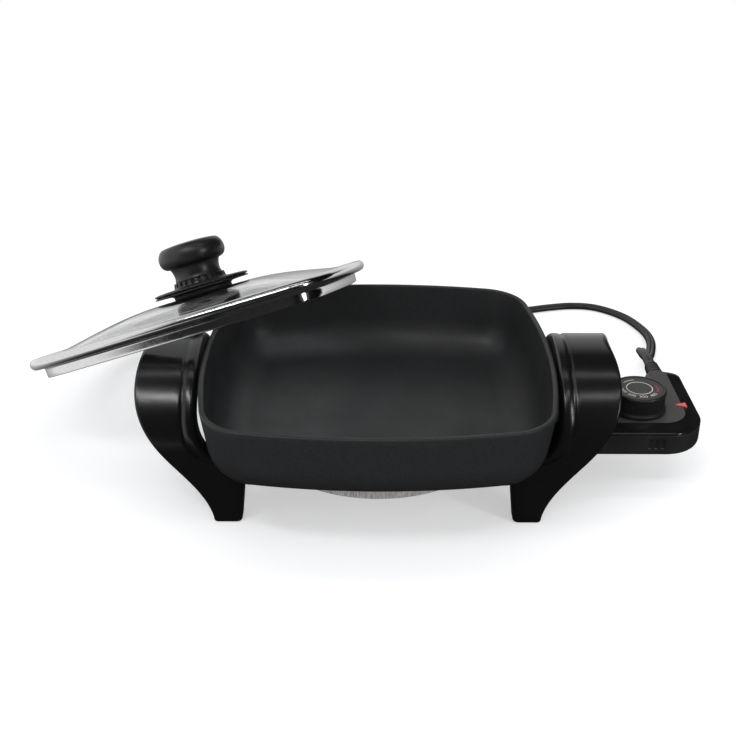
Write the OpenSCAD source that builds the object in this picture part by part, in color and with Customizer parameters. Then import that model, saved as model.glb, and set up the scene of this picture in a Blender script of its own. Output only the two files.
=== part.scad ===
// Small electric skillet: a square cast pan on a heated base, carried by two handles that are also its
// feet, a loose glass lid that leans on the left handle and the pan, and a plug-in temperature control
// with its cord. Millimetres. Z=0 is the surface that it stands on, the pan's centre is on X=0, Y=0,
// +X points to the control and -Y to the front.

/* [Pan] */
// Half the width of the pan at its rim
pan_half = 106; // [98:1:116]
// Radius of the gently bowed sides
pan_side_r = 400; // [300:10:600]
// Radius of the rim's corners
pan_corner_r = 31; // [30:1:40]
// Height of the pan, from the underside of its floor to its rim
pan_depth = 46; // [40:1:60]
// Thickness of the pan
pan_wall = 3; // [2:0.5:4]
// Lean of the walls, in degrees from upright
pan_lean = 8; // [4:1:10]
// Outside radius between wall and floor
pan_bend_r = 26; // [18:1:26]
// Rounding of the rim's two edges
rim_round = 0.8; // [0.4:0.1:1]
// Height of the pan's floor over the table
stand_h = 42; // [38:1:50]

/* [Heating base] */
// How far the base's edge lies inside the pan's rim
base_in = 30; // [28:1:36]
// How much narrower the base is at its bottom edge
base_taper = 1.6; // [0:0.2:3]
// Thickness of the base
base_h = 12.3; // [11:0.1:14]
// Radius of the heating element's loop
element_loop_r = 52; // [40:1:58]
// Radius of the element's sheath
element_r = 3.3; // [2.5:0.1:3.6]
// Height of the element, pins and probe over the base's underside
pin_up = 6.3; // [5.5:0.1:7]
// Distance of each terminal pin from the middle
pin_side = 10; // [8:0.5:11]
// Radius of a terminal pin
pin_r = 2.4; // [2:0.1:2.8]
// Length of the pins beyond the flat on the base
pin_len = 24; // [20:1:28]
// Radius of the temperature probe
probe_r = 3.2; // [2.6:0.1:3.6]
// How far the probe reaches into the base
probe_in = 48; // [30:1:60]

/* [Handles] */
// Outer radius of the arch, and half the stance from front to back
arch_r = 55; // [50:1:60]
// Thickness of the band that makes the arch and its legs
band_t = 11.5; // [9:0.5:14]
// Height of the arch's top over the pan's rim
grip_over = 7; // [4:1:14]
// Width of the band at the grip
grip_w = 36.2; // [32:0.1:42]
// Gap between the pan's rim and the handle
handle_gap = 0.6; // [0.4:0.1:2]
// How far the foot's outer edge lies inside the pan's rim
foot_in = 8; // [4:1:14]
// Width of a foot at the floor
foot_w = 16.5; // [12:0.5:22]
// Width of the raised bead along the band's inner edge
bead_w = 7.5; // [5:0.5:10]
// Depth and width of the groove beside the bead
groove = 1.4; // [1:0.1:2]
// How far the ears' screws lie inside the pan's rim, and inside the arch's outside
ear_in = [34.5, 3]; // [2:0.5:36]
// Gap between the ears and the heating base
ear_gap = 0.8; // [0.6:0.1:3]
// Thickness of the ears
ear_t = 8; // [6:0.5:10]
// Height of the pan's bosses, which the ears are screwed to
boss_h = 2; // [1.5:0.5:4]
// Radius of the bosses
boss_r = 7.5; // [6:0.5:8]
// Radius of the handle screws
screw_r = 2; // [1.5:0.1:2.5]

/* [Lid] */
// How far the lid's rim reaches past the pan's rim
lid_over = 1; // [0:0.5:2]
// Half the height of the steel bead round the lid
lid_bead = 3.5; // [3:0.1:4.5]
// How far the skirt hangs below the middle of the bead
skirt_drop = 10; // [8:0.5:14]
// Distance from the bead's outside to the skirt
skirt_in = 8; // [6:0.5:10]
// Thickness of the rim's sheet steel
steel_t = 0.9; // [0.7:0.1:1.2]
// Thickness of the glass
glass_t = 4; // [3:0.5:4.5]
// Rise of the glass from its edge to its middle
dome_h = 11; // [6:0.5:16]
// Lean of the lid, left side down, in degrees
lid_tilt = 18; // [10:1:20]
// Lean of the lid, back side down, in degrees
lid_pitch = 20; // [12:0.5:21]
// How far the lid's middle lies from the pan's middle
lid_shift = [-114, 82]; // [-120:1:120]

/* [Lid knob] */
// Radius of the knob's cap
knob_r = 22.8; // [18:0.2:26]
// Radius of the knob's neck
neck_r = 14.5; // [10:0.5:18]
// Height of the knob
knob_h = 25; // [20:1:32]
// Radius of the saucer under the knob
saucer_r = 32.5; // [27:0.5:36]
// Height of the saucer's raised middle
saucer_h = 9; // [6:0.5:12]
// Radius of the gasket between saucer and glass
gasket_r = 20; // [14:0.5:24]
// Thickness of the gasket
gasket_t = 2; // [1:0.5:3]

/* [Temperature control] */
// Width of the narrow part of the housing, which passes through the handle
neck_w = 52; // [46:1:56]
// Gap between the terminal guard and the housing
ctl_gap = 3.5; // [2:0.5:6]
// Length of the housing
ctl_len = 102; // [95:1:117]
// How far the wide part reaches to the back
ctl_back = 55; // [48:1:64]
// Width of the wide part along X
ctl_wing = 23; // [18:1:30]
// Radius of the large front corner
ctl_corner = 24; // [10:1:25]
// Height of the housing's top over the pan's floor
ctl_over = 6; // [4:0.5:8]
// Height of the whole housing
ctl_h = 18.5; // [17:0.5:22]
// Height of the top cover
cover_h = 4; // [3.5:0.5:6]
// Wall of the housing
ctl_wall = 2.2; // [1.6:0.2:3]
// Radius of the dial
dial_r = 17.5; // [13:0.5:20]
// Height of the dial
dial_h = 14; // [9:1:18]
// Distance from the housing's near end to the dial's middle
dial_out = 63.5; // [63:0.5:71]
// Number of grip flutes round the dial
flutes = 30; // [12:1:40]
// Radius of the dial's shaft
shaft_r = 3; // [2:0.2:4]
// Half the side of the pilot lens
lens_r = 3.6; // [2.4:0.2:5]

/* [Cord] */
// Width of the flat cord
cord_w = 7.2; // [6:0.2:8]
// Thickness of the flat cord
cord_t = 4.6; // [4:0.2:5]
// Length of the strain relief outside the housing
relief_len = 24; // [20:1:36]
// Radius of the coil's outer turn, to the middle of the cord
coil_r = 44; // [40:1:50]
// Turns in each layer of the coil, besides the climb
coil_turns = 0.75; // [0.5:0.25:1.75]
// Steps round each turn of the coil
coil_steps = 24; // [24:1:36]

/* [Hidden] */

// Fits: a part that lies against another, one that turns in another, and one that lifts off another
fit = 0.1;
run_fit = 0.05;
rest_gap = 0.3;
side_steps = 12;
corner_steps = 8;

rim_z = stand_h + pan_depth;
pin_z = stand_h - base_h + pin_up;
ear_top = stand_h - boss_h;
arch_z = rim_z + grip_over - arch_r;
grip_in = pan_half + handle_gap;
grip_out = grip_in + grip_w;
foot_out = pan_half - foot_in;
base_r = pan_half - base_in;
ear_at = [pan_half - ear_in.x, arch_r - ear_in.y];
ear_r = norm(ear_at) - base_r - ear_gap;

// ---- Outlines ----

// A square with bowed sides: each side is an arc of side_r, each corner one of corner_r. A parallel
// outline has the same centres, so an inset only shortens the radii.
function corner_at(half, side_r, corner_r) =
    let (s = half - side_r)
    (2 * s + sqrt(4 * s * s - 8 * (s * s - pow(side_r - corner_r, 2)))) / 4;
function turned(p, a) = [p.x * cos(a) - p.y * sin(a), p.x * sin(a) + p.y * cos(a)];
function bowed_square(half, side_r, corner_r, inset = 0) =
    let (s = half - side_r, k = corner_at(half, side_r, corner_r), t = atan2(k, k - s))
    [for (q = [0:3]) for (p = concat(
        [for (i = [0:side_steps - 1]) let (a = -t + 2 * t * i / side_steps)
            [s, 0] + (side_r - inset) * [cos(a), sin(a)]],
        [for (i = [0:corner_steps - 1]) let (a = t + (90 - 2 * t) * i / corner_steps)
            [k, k] + (corner_r - inset) * [cos(a), sin(a)]])) turned(p, 90 * q)];

// How far a point lies inside that outline, and how far the outline is from the middle along a direction
function folded(p) = [max(abs(p.x), abs(p.y)), min(abs(p.x), abs(p.y))];
function depth_in(p, half, side_r, corner_r) =
    let (f = folded(p), s = half - side_r, k = corner_at(half, side_r, corner_r))
    atan2(f.y, f.x - s) < atan2(k, k - s) ? side_r - norm(f - [s, 0]) : corner_r - norm(f - [k, k]);
function reach_of(p, half, side_r, corner_r) =
    let (f = folded(p) / max(norm(p), 0.001), s = half - side_r,
         k = corner_at(half, side_r, corner_r), b = k * (f.x + f.y),
         side = f.x * s + sqrt(pow(f.x * s, 2) - s * s + side_r * side_r),
         at_side = side * f)
    atan2(at_side.y, at_side.x - s) < atan2(k, k - s) ? side : b + sqrt(b * b - 2 * k * k + corner_r * corner_r);

// A polygon with rounded corners, from [x, y, radius] going anticlockwise; an inset shrinks it evenly
function unit(v) = v / norm(v);
function left_of(v) = [-v.y, v.x];
function line_meet(p, u, q, v) = p + u * ((q - p) * left_of(v)) / (u * left_of(v));
function rounded(corners, inset = 0, steps = 5) =
    let (n = len(corners), xy = [for (c = corners) [c[0], c[1]]])
    [for (i = [0:n - 1])
        let (u = unit(xy[i] - xy[(i + n - 1) % n]), v = unit(xy[(i + 1) % n] - xy[i]),
             bend = atan2(u.x * v.y - u.y * v.x, u * v), way = sign(bend),
             p = line_meet(xy[i] + left_of(u) * inset, u, xy[i] + left_of(v) * inset, v),
             r = max(0.2, corners[i][2] - way * inset),
             centre = p + r * way * (left_of(u) + left_of(v)) / (1 + u * v))
        for (j = [0:steps]) let (a = bend * j / steps)
            centre - way * r * turned(left_of(u), a)];

function bezier(a, b, c, d, steps) =
    [for (i = [0:steps]) let (t = i / steps, s = 1 - t)
        s * s * s * a + 3 * s * s * t * b + 3 * s * t * t * c + t * t * t * d];
function level(outline, z) = [for (p = outline) [p.x, p.y, z]];

// A skin through a stack of equal rings: closed on itself like a hoop, or capped at both ends, where the
// triangles fan out from one point of the ring that sees all of it
module loft(rings, hoop = false, apex = 0) {
    n = len(rings[0]);
    m = len(rings);
    sides = [for (i = [0:m - (hoop ? 1 : 2)]) for (j = [0:n - 1])
        let (a = i * n + j, b = i * n + (j + 1) % n, c = (i + 1) % m * n + (j + 1) % n, d = (i + 1) % m * n + j)
        each [[a, d, c], [a, c, b]]];
    caps = hoop ? [] : [[for (j = [0:n - 1]) (apex + j) % n], [for (j = [n:-1:1]) (m - 1) * n + (apex + j) % n]];
    polyhedron([for (r = rings) each r], concat(caps, sides), convexity = 6);
}

// A round bar along X, and a ring of it
module bar_x(x0, x1, r, y = 0, z = 0) {
    translate([x0, y, z]) rotate([0, 90, 0]) cylinder(r = r, h = x1 - x0, $fn = 48);
}
module both_y() { children(); mirror([0, 1, 0]) children(); }
module both_x() { children(); mirror([1, 0, 0]) children(); }

// ---- Pan ----

// The wall's section, as [inset from the rim's outline, height]: in is 0 outside and the wall's
// thickness inside
bend_top = stand_h + pan_bend_r * (1 - sin(pan_lean));
bend_start = pan_bend_r * cos(pan_lean) + (rim_z - bend_top) * tan(pan_lean);
bend_steps = 7;
function bend(in) = [for (i = [0:bend_steps]) let (a = (90 - pan_lean) * i / bend_steps)
    [bend_start - (pan_bend_r - in) * sin(a), stand_h + pan_bend_r - (pan_bend_r - in) * cos(a)]];
wall_in = pan_wall / cos(pan_lean);
pan_section = concat(
    bend(0),
    [[rim_round * tan(pan_lean), rim_z - rim_round], [0.3 * rim_round, rim_z - 0.3 * rim_round],
     [rim_round, rim_z], [wall_in - rim_round, rim_z],
     [wall_in - 0.3 * rim_round, rim_z - 0.3 * rim_round],
     [wall_in + rim_round * tan(pan_lean), rim_z - rim_round]],
    [for (i = [bend_steps:-1:0]) bend(pan_wall)[i]]);
function pan_outline(inset) = bowed_square(pan_half, pan_side_r, pan_corner_r, inset);

module at_ears() { both_x() both_y() translate([ear_at.x, ear_at.y, 0]) children(); }

module pan_body() {
    color([0.13, 0.13, 0.14]) difference() {
        union() {
            loft([for (p = pan_section) level(pan_outline(p[0]), p[1])]);
            at_ears() translate([0, 0, ear_top]) cylinder(r = boss_r, h = boss_h + pan_wall / 2, $fn = 48);
        }
        at_ears() translate([0, 0, ear_top - 1]) cylinder(r = screw_r + fit, h = boss_h + 0.6 * pan_wall + 1, $fn = 48);
    }
}

// ---- Heating base ----

flat_x = base_r - 3.5;
element_gap = asin(pin_side / element_loop_r);
element_end = element_loop_r * cos(element_gap);
base_bottom = stand_h - base_h;
probe_tip = flat_x - probe_in;
groove_half = element_r - 0.6;

// The element's loop and its two straight ends, thicker by a clearance for its groove
module element_path(r) {
    translate([0, 0, pin_z]) rotate([0, 0, element_gap])
        rotate_extrude(angle = 360 - 2 * element_gap, $fn = 96)
            translate([element_loop_r, 0]) circle(r = r, $fn = 40);
    both_y() bar_x(element_end - 1.5, flat_x, r - 0.3, pin_side, pin_z);
}

module heating_base() {
    color([0.72, 0.72, 0.73]) difference() {
        rotate_extrude($fn = 128) polygon([[0, base_bottom], [base_r - base_taper - 0.8, base_bottom],
            [base_r - base_taper, base_bottom + 0.8], [base_r, stand_h - 1], [base_r - 1, stand_h], [0, stand_h]]);
        translate([flat_x, -base_r, base_bottom - 1]) cube([base_r, 2 * base_r, base_h + 2]);
        bar_x(probe_tip - 1, base_r, probe_r + 0.4, 0, pin_z);
        element_path(element_r + fit);
        // the groove's mouth below is narrower than the element, so that it holds it
        translate([0, 0, base_bottom - 1]) rotate([0, 0, element_gap])
            rotate_extrude(angle = 360 - 2 * element_gap, $fn = 96)
                translate([element_loop_r - groove_half, 0]) square([2 * groove_half, pin_up + 1]);
        both_y() translate([element_end, pin_side - groove_half, base_bottom - 1])
            cube([base_r, 2 * groove_half, pin_up + 1]);
    }
}

module heating_element() {
    color([0.3, 0.3, 0.32]) {
        element_path(element_r);
        both_y() {
            bar_x(flat_x - 1, flat_x + pin_len - 1, pin_r, pin_side, pin_z);
            translate([flat_x + pin_len - 1, pin_side, pin_z]) rotate([0, 90, 0])
                cylinder(r1 = pin_r, r2 = pin_r - 1, h = 1, $fn = 48);
        }
    }
}

guard_t = 1.4;
guard_half = pin_side + 6.5;
guard_len = pin_len - 1;
bushing_len = 6;
module terminal_bushings() {
    color([0.93, 0.92, 0.88]) both_y() difference() {
        bar_x(flat_x + guard_t, flat_x + guard_t + bushing_len, pin_r + 1.9, pin_side, pin_z);
        bar_x(flat_x, flat_x + bushing_len + 3, pin_r + fit, pin_side, pin_z);
    }
}

module terminal_guard() {
    color([0.16, 0.16, 0.17]) difference() {
        translate([flat_x, -guard_half, base_bottom]) cube([guard_len, 2 * guard_half, base_h - fit]);
        translate([flat_x + guard_t, guard_t - guard_half, base_bottom + guard_t])
            cube([guard_len, 2 * (guard_half - guard_t), base_h - fit - 2 * guard_t]);
        bar_x(flat_x - 1, flat_x + 3, probe_r + 0.6, 0, pin_z);
        both_y() bar_x(flat_x - 1, flat_x + 3, pin_r + 0.5, pin_side, pin_z);
    }
}

// ---- Handles ----

// The band seen along X: an arch on two straight legs
module arch_outline(r) {
    translate([0, arch_z]) circle(r = r, $fn = 96);
    translate([-r, -1]) square([2 * r, arch_z + 1]);
}
module along_x(x0, x1) {
    translate([x0, 0, 0]) rotate([90, 0, 90]) linear_extrude(x1 - x0) children();
}
module along_y(w) { rotate([90, 0, 0]) linear_extrude(w, center = true) children(); }

// The band seen along Y: outer edge from shoulder to foot, inner edge from grip to ear, groove beside it
shoulder = bezier([grip_out - 7, arch_z + arch_r + 0.5], [grip_out - 2, arch_z + arch_r],
    [grip_out, arch_z + arch_r - 4], [grip_out, rim_z - 5], 5);
outer_edge = bezier([grip_out, rim_z - 5], [grip_out, rim_z - 39], [foot_out + 3, 30], [foot_out, 0], 14);
function inner_edge(out, down) = bezier([grip_in + out, rim_z - 20 + down], [grip_in + out, ear_top + 11],
    [pan_half - 9 + out, ear_top - down], [foot_out - foot_w + 0.5, ear_top - down], 10);
band_outline = concat(
    [[grip_in, arch_z + arch_r + 0.5]],
    inner_edge(0, 0),
    [[foot_out - foot_w - 2.5, ear_top], [foot_out - foot_w - 2.5, ear_top - ear_t - 8], [foot_out - foot_w, 0]],
    [for (i = [14:-1:1]) outer_edge[i]],
    [for (i = [5:-1:0]) shoulder[i]]);
groove_edge = concat([[grip_in + bead_w, arch_z + arch_r + 1]], inner_edge(bead_w, 3));
groove_outline = concat(groove_edge,
    [for (i = [len(groove_edge) - 1:-1:0]) groove_edge[i] + [i > 4 ? 0.7 * groove : groove, i > 4 ? -groove : 0]]);

module handle() {
    difference() {
        union() {
            intersection() {
                along_x(pan_half - 40, grip_out + 1) difference() {
                    arch_outline(arch_r);
                    arch_outline(arch_r - band_t);
                }
                along_y(3 * arch_r) polygon(band_outline);
            }
            both_y() translate([ear_at.x, ear_at.y, ear_top - ear_t]) {
                cylinder(r = ear_r, h = ear_t, $fn = 64);
                // web from the ear to the leg
                translate([0, -ear_r, 0]) cube([pan_half - ear_at.x - 18, arch_r - ear_at.y + ear_r, ear_t]);
            }
        }
        both_y() translate([ear_at.x, ear_at.y, 0]) cylinder(r = screw_r + 0.2, h = stand_h, $fn = 48);
        intersection() {
            along_x(pan_half - 40, grip_out + 2) difference() {
                arch_outline(arch_r + 2);
                arch_outline(arch_r - groove);
            }
            along_y(3 * arch_r) polygon(groove_outline);
        }
    }
}
module right_handle() { color([0.07, 0.07, 0.08]) handle(); }
module left_handle() { color([0.07, 0.07, 0.08]) mirror([1, 0, 0]) handle(); }

washer_t = 0.8;
head_h = 2.5;
module handle_screws() {
    color([0.75, 0.75, 0.77]) at_ears() translate([0, 0, ear_top - ear_t - washer_t - head_h]) difference() {
        union() {
            cylinder(r1 = 1.6 * screw_r, r2 = 2.1 * screw_r, h = 0.8, $fn = 48);
            translate([0, 0, 0.8]) cylinder(r = 2.1 * screw_r, h = head_h - 0.8, $fn = 48);
            cylinder(r = screw_r, h = head_h + washer_t + ear_t + boss_h + 0.5 * pan_wall, $fn = 48);
        }
        for (a = [0, 90]) rotate([0, 0, a]) translate([-2.4, -0.4, -1]) cube([4.8, 0.8, 2]);
    }
}
module screw_washers() {
    color([0.6, 0.6, 0.62]) at_ears() translate([0, 0, ear_top - ear_t - washer_t]) difference() {
        cylinder(r = 2.4 * screw_r, h = washer_t, $fn = 48);
        translate([0, 0, -1]) cylinder(r = screw_r + fit, h = washer_t + 2, $fn = 48);
    }
}

// ---- Lid, in its own frame: the middle of its steel bead is at Z=0 ----

lid_half = pan_half + lid_over;
lid_side_r = pan_side_r + lid_over;
lid_corner_r = pan_corner_r + lid_over;
function lid_outline(inset) = bowed_square(lid_half, lid_side_r, lid_corner_r, inset);
glass_in = 3.2;
glass_edge = glass_t / 2;
glass_top = glass_edge + dome_h;
hole_r = 3.4;
// The glass is level round its hole and where the rim holds it, and domed between the two
flat_share = 0.22;
rim_share = 1 - (skirt_in + steel_t - glass_in + 0.6) / (lid_half - glass_in);
dome_shares = concat([0], [for (i = [0:6]) flat_share + (rim_share - flat_share) * i / 6], [1]);
function dome_z(u) =
    let (w = min(1, max(0, (u - flat_share) / (rim_share - flat_share))))
    glass_edge + dome_h * pow(1 - w * w, 1.5);
function dome_ring(u, z) =
    let (edge = lid_outline(glass_in))
    [for (p = edge) let (q = u * p + (1 - u) * hole_r * unit(p)) [q.x, q.y, z]];
// The rim's section, anticlockwise as [inset, height]: a channel round the glass's edge, then the skirt
slot_h = glass_edge + fit;
rim_section = [[skirt_in - 1.5, slot_h], [skirt_in - 1.5, lid_bead], [2.4, lid_bead], [0.7, 0.7 * lid_bead], [0, 0],
    [0.7, -0.7 * lid_bead], [2.4, -lid_bead], [skirt_in, -lid_bead], [skirt_in + 0.3, -skirt_drop],
    [skirt_in + 0.3 + steel_t, -skirt_drop], [skirt_in + steel_t, -slot_h], [glass_in - fit, -slot_h],
    [glass_in - fit, slot_h]];
washer_r = 9;
lid_washer_t = 1.2;
lid_head_h = 2.4;
under_glass = glass_top - glass_t;

// The lowest thing of the lid over a point of its own plane; outside its rim there is nothing
function underside(p) =
    let (d = depth_in(p, lid_half, lid_side_r, lid_corner_r))
    d < 0 ? 1000 :
    d < skirt_in ? -lid_bead :
    d < skirt_in + 0.3 + steel_t ? -skirt_drop :
    norm(p) < washer_r ? under_glass - lid_washer_t - lid_head_h :
    dome_z(norm(p) / reach_of(p, lid_half - glass_in, lid_side_r - glass_in, lid_corner_r - glass_in)) - glass_t;

function rot_x(p, a) = [p.x, p.y * cos(a) - p.z * sin(a), p.y * sin(a) + p.z * cos(a)];
function rot_y(p, a) = [p.x * cos(a) + p.z * sin(a), p.y, -p.x * sin(a) + p.z * cos(a)];
function from_lid(p, at) = at + rot_y(rot_x(p, -lid_pitch), -lid_tilt);
function to_lid(p, at) = rot_x(rot_y(p - at, lid_tilt), lid_pitch);

// The lid is let down until it meets the pan's rim or the handle's top. A point of those that lies
// under the lid lifts it by what is missing; the skirt's own points are tried the other way round.
function lift_over(p, z, tries = 4) =
    let (q = to_lid(p, [lid_shift.x, lid_shift.y, z]), miss = q.z - underside([q.x, q.y]))
    miss < -900 ? 0 : tries == 0 ? z : lift_over(p, z + miss / (cos(lid_tilt) * cos(lid_pitch)), tries - 1);
handle_top = [for (x = [-grip_out + 5:6:-grip_in]) for (a = [-48:3:48])
    [x, arch_r * sin(a), arch_z + arch_r * cos(a)]];
rest_points = concat([for (d = [0.5, pan_wall - 0.5]) each level(pan_outline(d), rim_z)], handle_top);
function support_z(p) =
    abs(p.y) < arch_r && p.x < -grip_in && p.x > -grip_out ? arch_z + sqrt(arch_r * arch_r - p.y * p.y) :
    let (d = depth_in([p.x, p.y], pan_half, pan_side_r, pan_corner_r)) d > 0 && d < wall_in + 1 ? rim_z : -1000;
skirt_points = [for (d = [skirt_in + 0.3, skirt_in + 0.3 + steel_t]) for (p = lid_outline(d))
    from_lid([p.x, p.y, -skirt_drop], [lid_shift.x, lid_shift.y, 0])];
lid_z = rest_gap + max(concat(
    [for (p = rest_points) lift_over(p, rim_z)],
    [for (i = [0:len(skirt_points) - 1]) for (s = [0, 0.25, 0.5, 0.75])
        let (a = skirt_points[i], b = skirt_points[(i + 1) % len(skirt_points)], p = a + s * (b - a))
        norm(b - a) < 40 ? support_z(p) - p.z : 0]));

module lid_place() {
    translate([lid_shift.x, lid_shift.y, lid_z]) rotate([-lid_pitch, -lid_tilt, 0]) children();
}

module lid_glass() {
    color([0.8, 0.85, 0.85, 0.4]) lid_place() loft(concat(
        [for (u = dome_shares) dome_ring(u, dome_z(u) - glass_t)],
        [for (i = [len(dome_shares) - 1:-1:0]) dome_ring(dome_shares[i], dome_z(dome_shares[i]))]), hoop = true);
}
module lid_rim() {
    color([0.8, 0.8, 0.82]) lid_place()
        loft([for (i = [len(rim_section) - 1:-1:0]) level(lid_outline(rim_section[i][0]), rim_section[i][1])], hoop = true);
}
gasket_z = glass_top;
saucer_z = gasket_z + gasket_t;
knob_z = saucer_z + saucer_h;
module knob_gasket() {
    color([0.1, 0.1, 0.1]) lid_place() translate([0, 0, gasket_z]) rotate_extrude($fn = 96)
        polygon([[hole_r, 0], [gasket_r - 0.5, 0], [gasket_r, 0.5], [gasket_r, gasket_t], [hole_r, gasket_t]]);
}
// A dished plate with a rolled edge, its raised middle carrying the knob
module knob_saucer() {
    color([0.06, 0.06, 0.07]) lid_place() translate([0, 0, saucer_z]) difference() {
        rotate_extrude($fn = 96) polygon(concat(
            [[hole_r, 0], [gasket_r, 0], [gasket_r + 1.5, 1.4], [saucer_r - 2, 2.2], [saucer_r - 1.6, 1.2],
             [saucer_r - 0.4, 1.2], [saucer_r, 2], [saucer_r, 3.6], [saucer_r - 1.2, 4.6]],
            bezier([saucer_r - 4, 4.9], [neck_r + 8, 5.4], [neck_r + 5.6, saucer_h - 1], [neck_r + 3.8, saucer_h - 0.4], 5),
            [[neck_r + 3, saucer_h], [hole_r, saucer_h]]));
        // slots through the edge let steam out
        for (a = [0:60:300]) rotate([0, 0, a + 30]) translate([saucer_r - 3, -4, 1]) cube([5, 8, 1.6]);
    }
}
module lid_knob() {
    color([0.05, 0.05, 0.06]) lid_place() translate([0, 0, knob_z]) difference() {
        rotate_extrude($fn = 96) polygon(concat(
            [[0, 0], [neck_r + 1, 0]],
            bezier([neck_r + 1.6, 0.6], [neck_r - 1, knob_h * 0.14], [neck_r - 1, knob_h * 0.24], [neck_r + 1, knob_h * 0.38], 5),
            bezier([knob_r - 3, knob_h * 0.4], [knob_r + 1, knob_h * 0.44], [knob_r + 0.6, knob_h * 0.86],
                [knob_r - 5, knob_h * 0.94], 8),
            [[knob_r * 0.5, knob_h * 0.99], [0, knob_h]]));
        translate([0, 0, -1]) cylinder(r = 4 + fit, h = 15 + 1 + fit, $fn = 48);
    }
}
module knob_insert() {
    color([0.78, 0.62, 0.3]) lid_place() translate([0, 0, knob_z + 0.4]) difference() {
        cylinder(r = 4, h = 14.6, $fn = 48);
        translate([0, 0, -1]) cylinder(r = 2.4 + fit, h = 14, $fn = 48);
    }
}
module knob_washer() {
    color([0.75, 0.75, 0.77]) lid_place() translate([0, 0, under_glass - lid_washer_t]) difference() {
        cylinder(r = washer_r, h = lid_washer_t, $fn = 64);
        translate([0, 0, -1]) cylinder(r = 2.6, h = lid_washer_t + 2, $fn = 48);
    }
}
module knob_screw() {
    color([0.75, 0.75, 0.77]) lid_place() translate([0, 0, under_glass - lid_washer_t - lid_head_h]) difference() {
        union() {
            cylinder(r1 = 3.4, r2 = 4.6, h = lid_head_h, $fn = 48);
            cylinder(r = 2.4, h = lid_head_h + lid_washer_t + glass_t + gasket_t + saucer_h + 11, $fn = 48);
        }
        translate([-6, -0.6, -1]) cube([12, 1.2, 2]);
    }
}

// ---- Temperature control ----

ctl_x0 = flat_x + guard_len + ctl_gap;
ctl_x1 = ctl_x0 + ctl_len;
ctl_top = stand_h + ctl_over;
ctl_z = ctl_top - ctl_h;
seam_z = ctl_top - cover_h;
dial_at = [ctl_x0 + dial_out, 2];
ctl_corners = [[ctl_x0, -neck_w / 2, 5], [ctl_x1, -neck_w / 2, ctl_corner], [ctl_x1, ctl_back, 6],
    [ctl_x1 - ctl_wing, ctl_back, 6], [ctl_x1 - ctl_wing, neck_w / 2, 4], [ctl_x0, neck_w / 2, 5]];
ctl_steps = 5;
function ctl_outline(inset) = rounded(ctl_corners, inset, ctl_steps);
// the end of the large corner's arc sees the whole outline
ctl_apex = 2 * ctl_steps + 1;
screw_spots = [[ctl_x0 + 8, neck_w / 2 - 7], [ctl_x0 + 8, 7 - neck_w / 2], [ctl_x1 - 11, ctl_back - 18]];
ctl_screw_r = 1.3;
ctl_boss_r = 3.2;
cover_round = 2.4;
bottom_round = 3.6;
bush_r = 5.5;
lens_at = [ctl_x1 - 8.5, dial_at.y + 4];
relief_x = ctl_x1 - ctl_wing / 2 - 1;
relief_z = ctl_z + 9.5;
relief_r = 5;

// How far the housing's screws bite into the cover
screw_bite = 2.4;
// The underside is a pocket, so the skin runs from its floor down to the seam, out and up over the top
module control_cover() {
    color([0.06, 0.06, 0.07]) difference() {
        union() {
            loft(concat([level(ctl_outline(ctl_wall), ctl_top - ctl_wall), level(ctl_outline(ctl_wall), seam_z),
                    level(ctl_outline(0), seam_z)],
                [for (i = [0:4]) let (a = 90 * i / 4)
                    level(ctl_outline(cover_round * (1 - cos(a))), ctl_top - cover_round * (1 - sin(a)))]),
                apex = ctl_apex);
            for (p = screw_spots) translate([p.x, p.y, seam_z]) cylinder(r = ctl_boss_r, h = cover_h - ctl_wall / 2, $fn = 32);
        }
        for (p = screw_spots) translate([p.x, p.y, seam_z - 1])
            cylinder(r = ctl_screw_r + fit, h = screw_bite + 1 + fit, $fn = 32);
        translate([dial_at.x, dial_at.y, seam_z - 1]) cylinder(r = bush_r + fit, h = cover_h + 2, $fn = 64);
        translate([lens_at.x, lens_at.y, seam_z - 1]) rotate([0, 0, 180]) cylinder(r = lens_r + fit, h = cover_h + 2, $fn = 3);
    }
}

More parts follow.
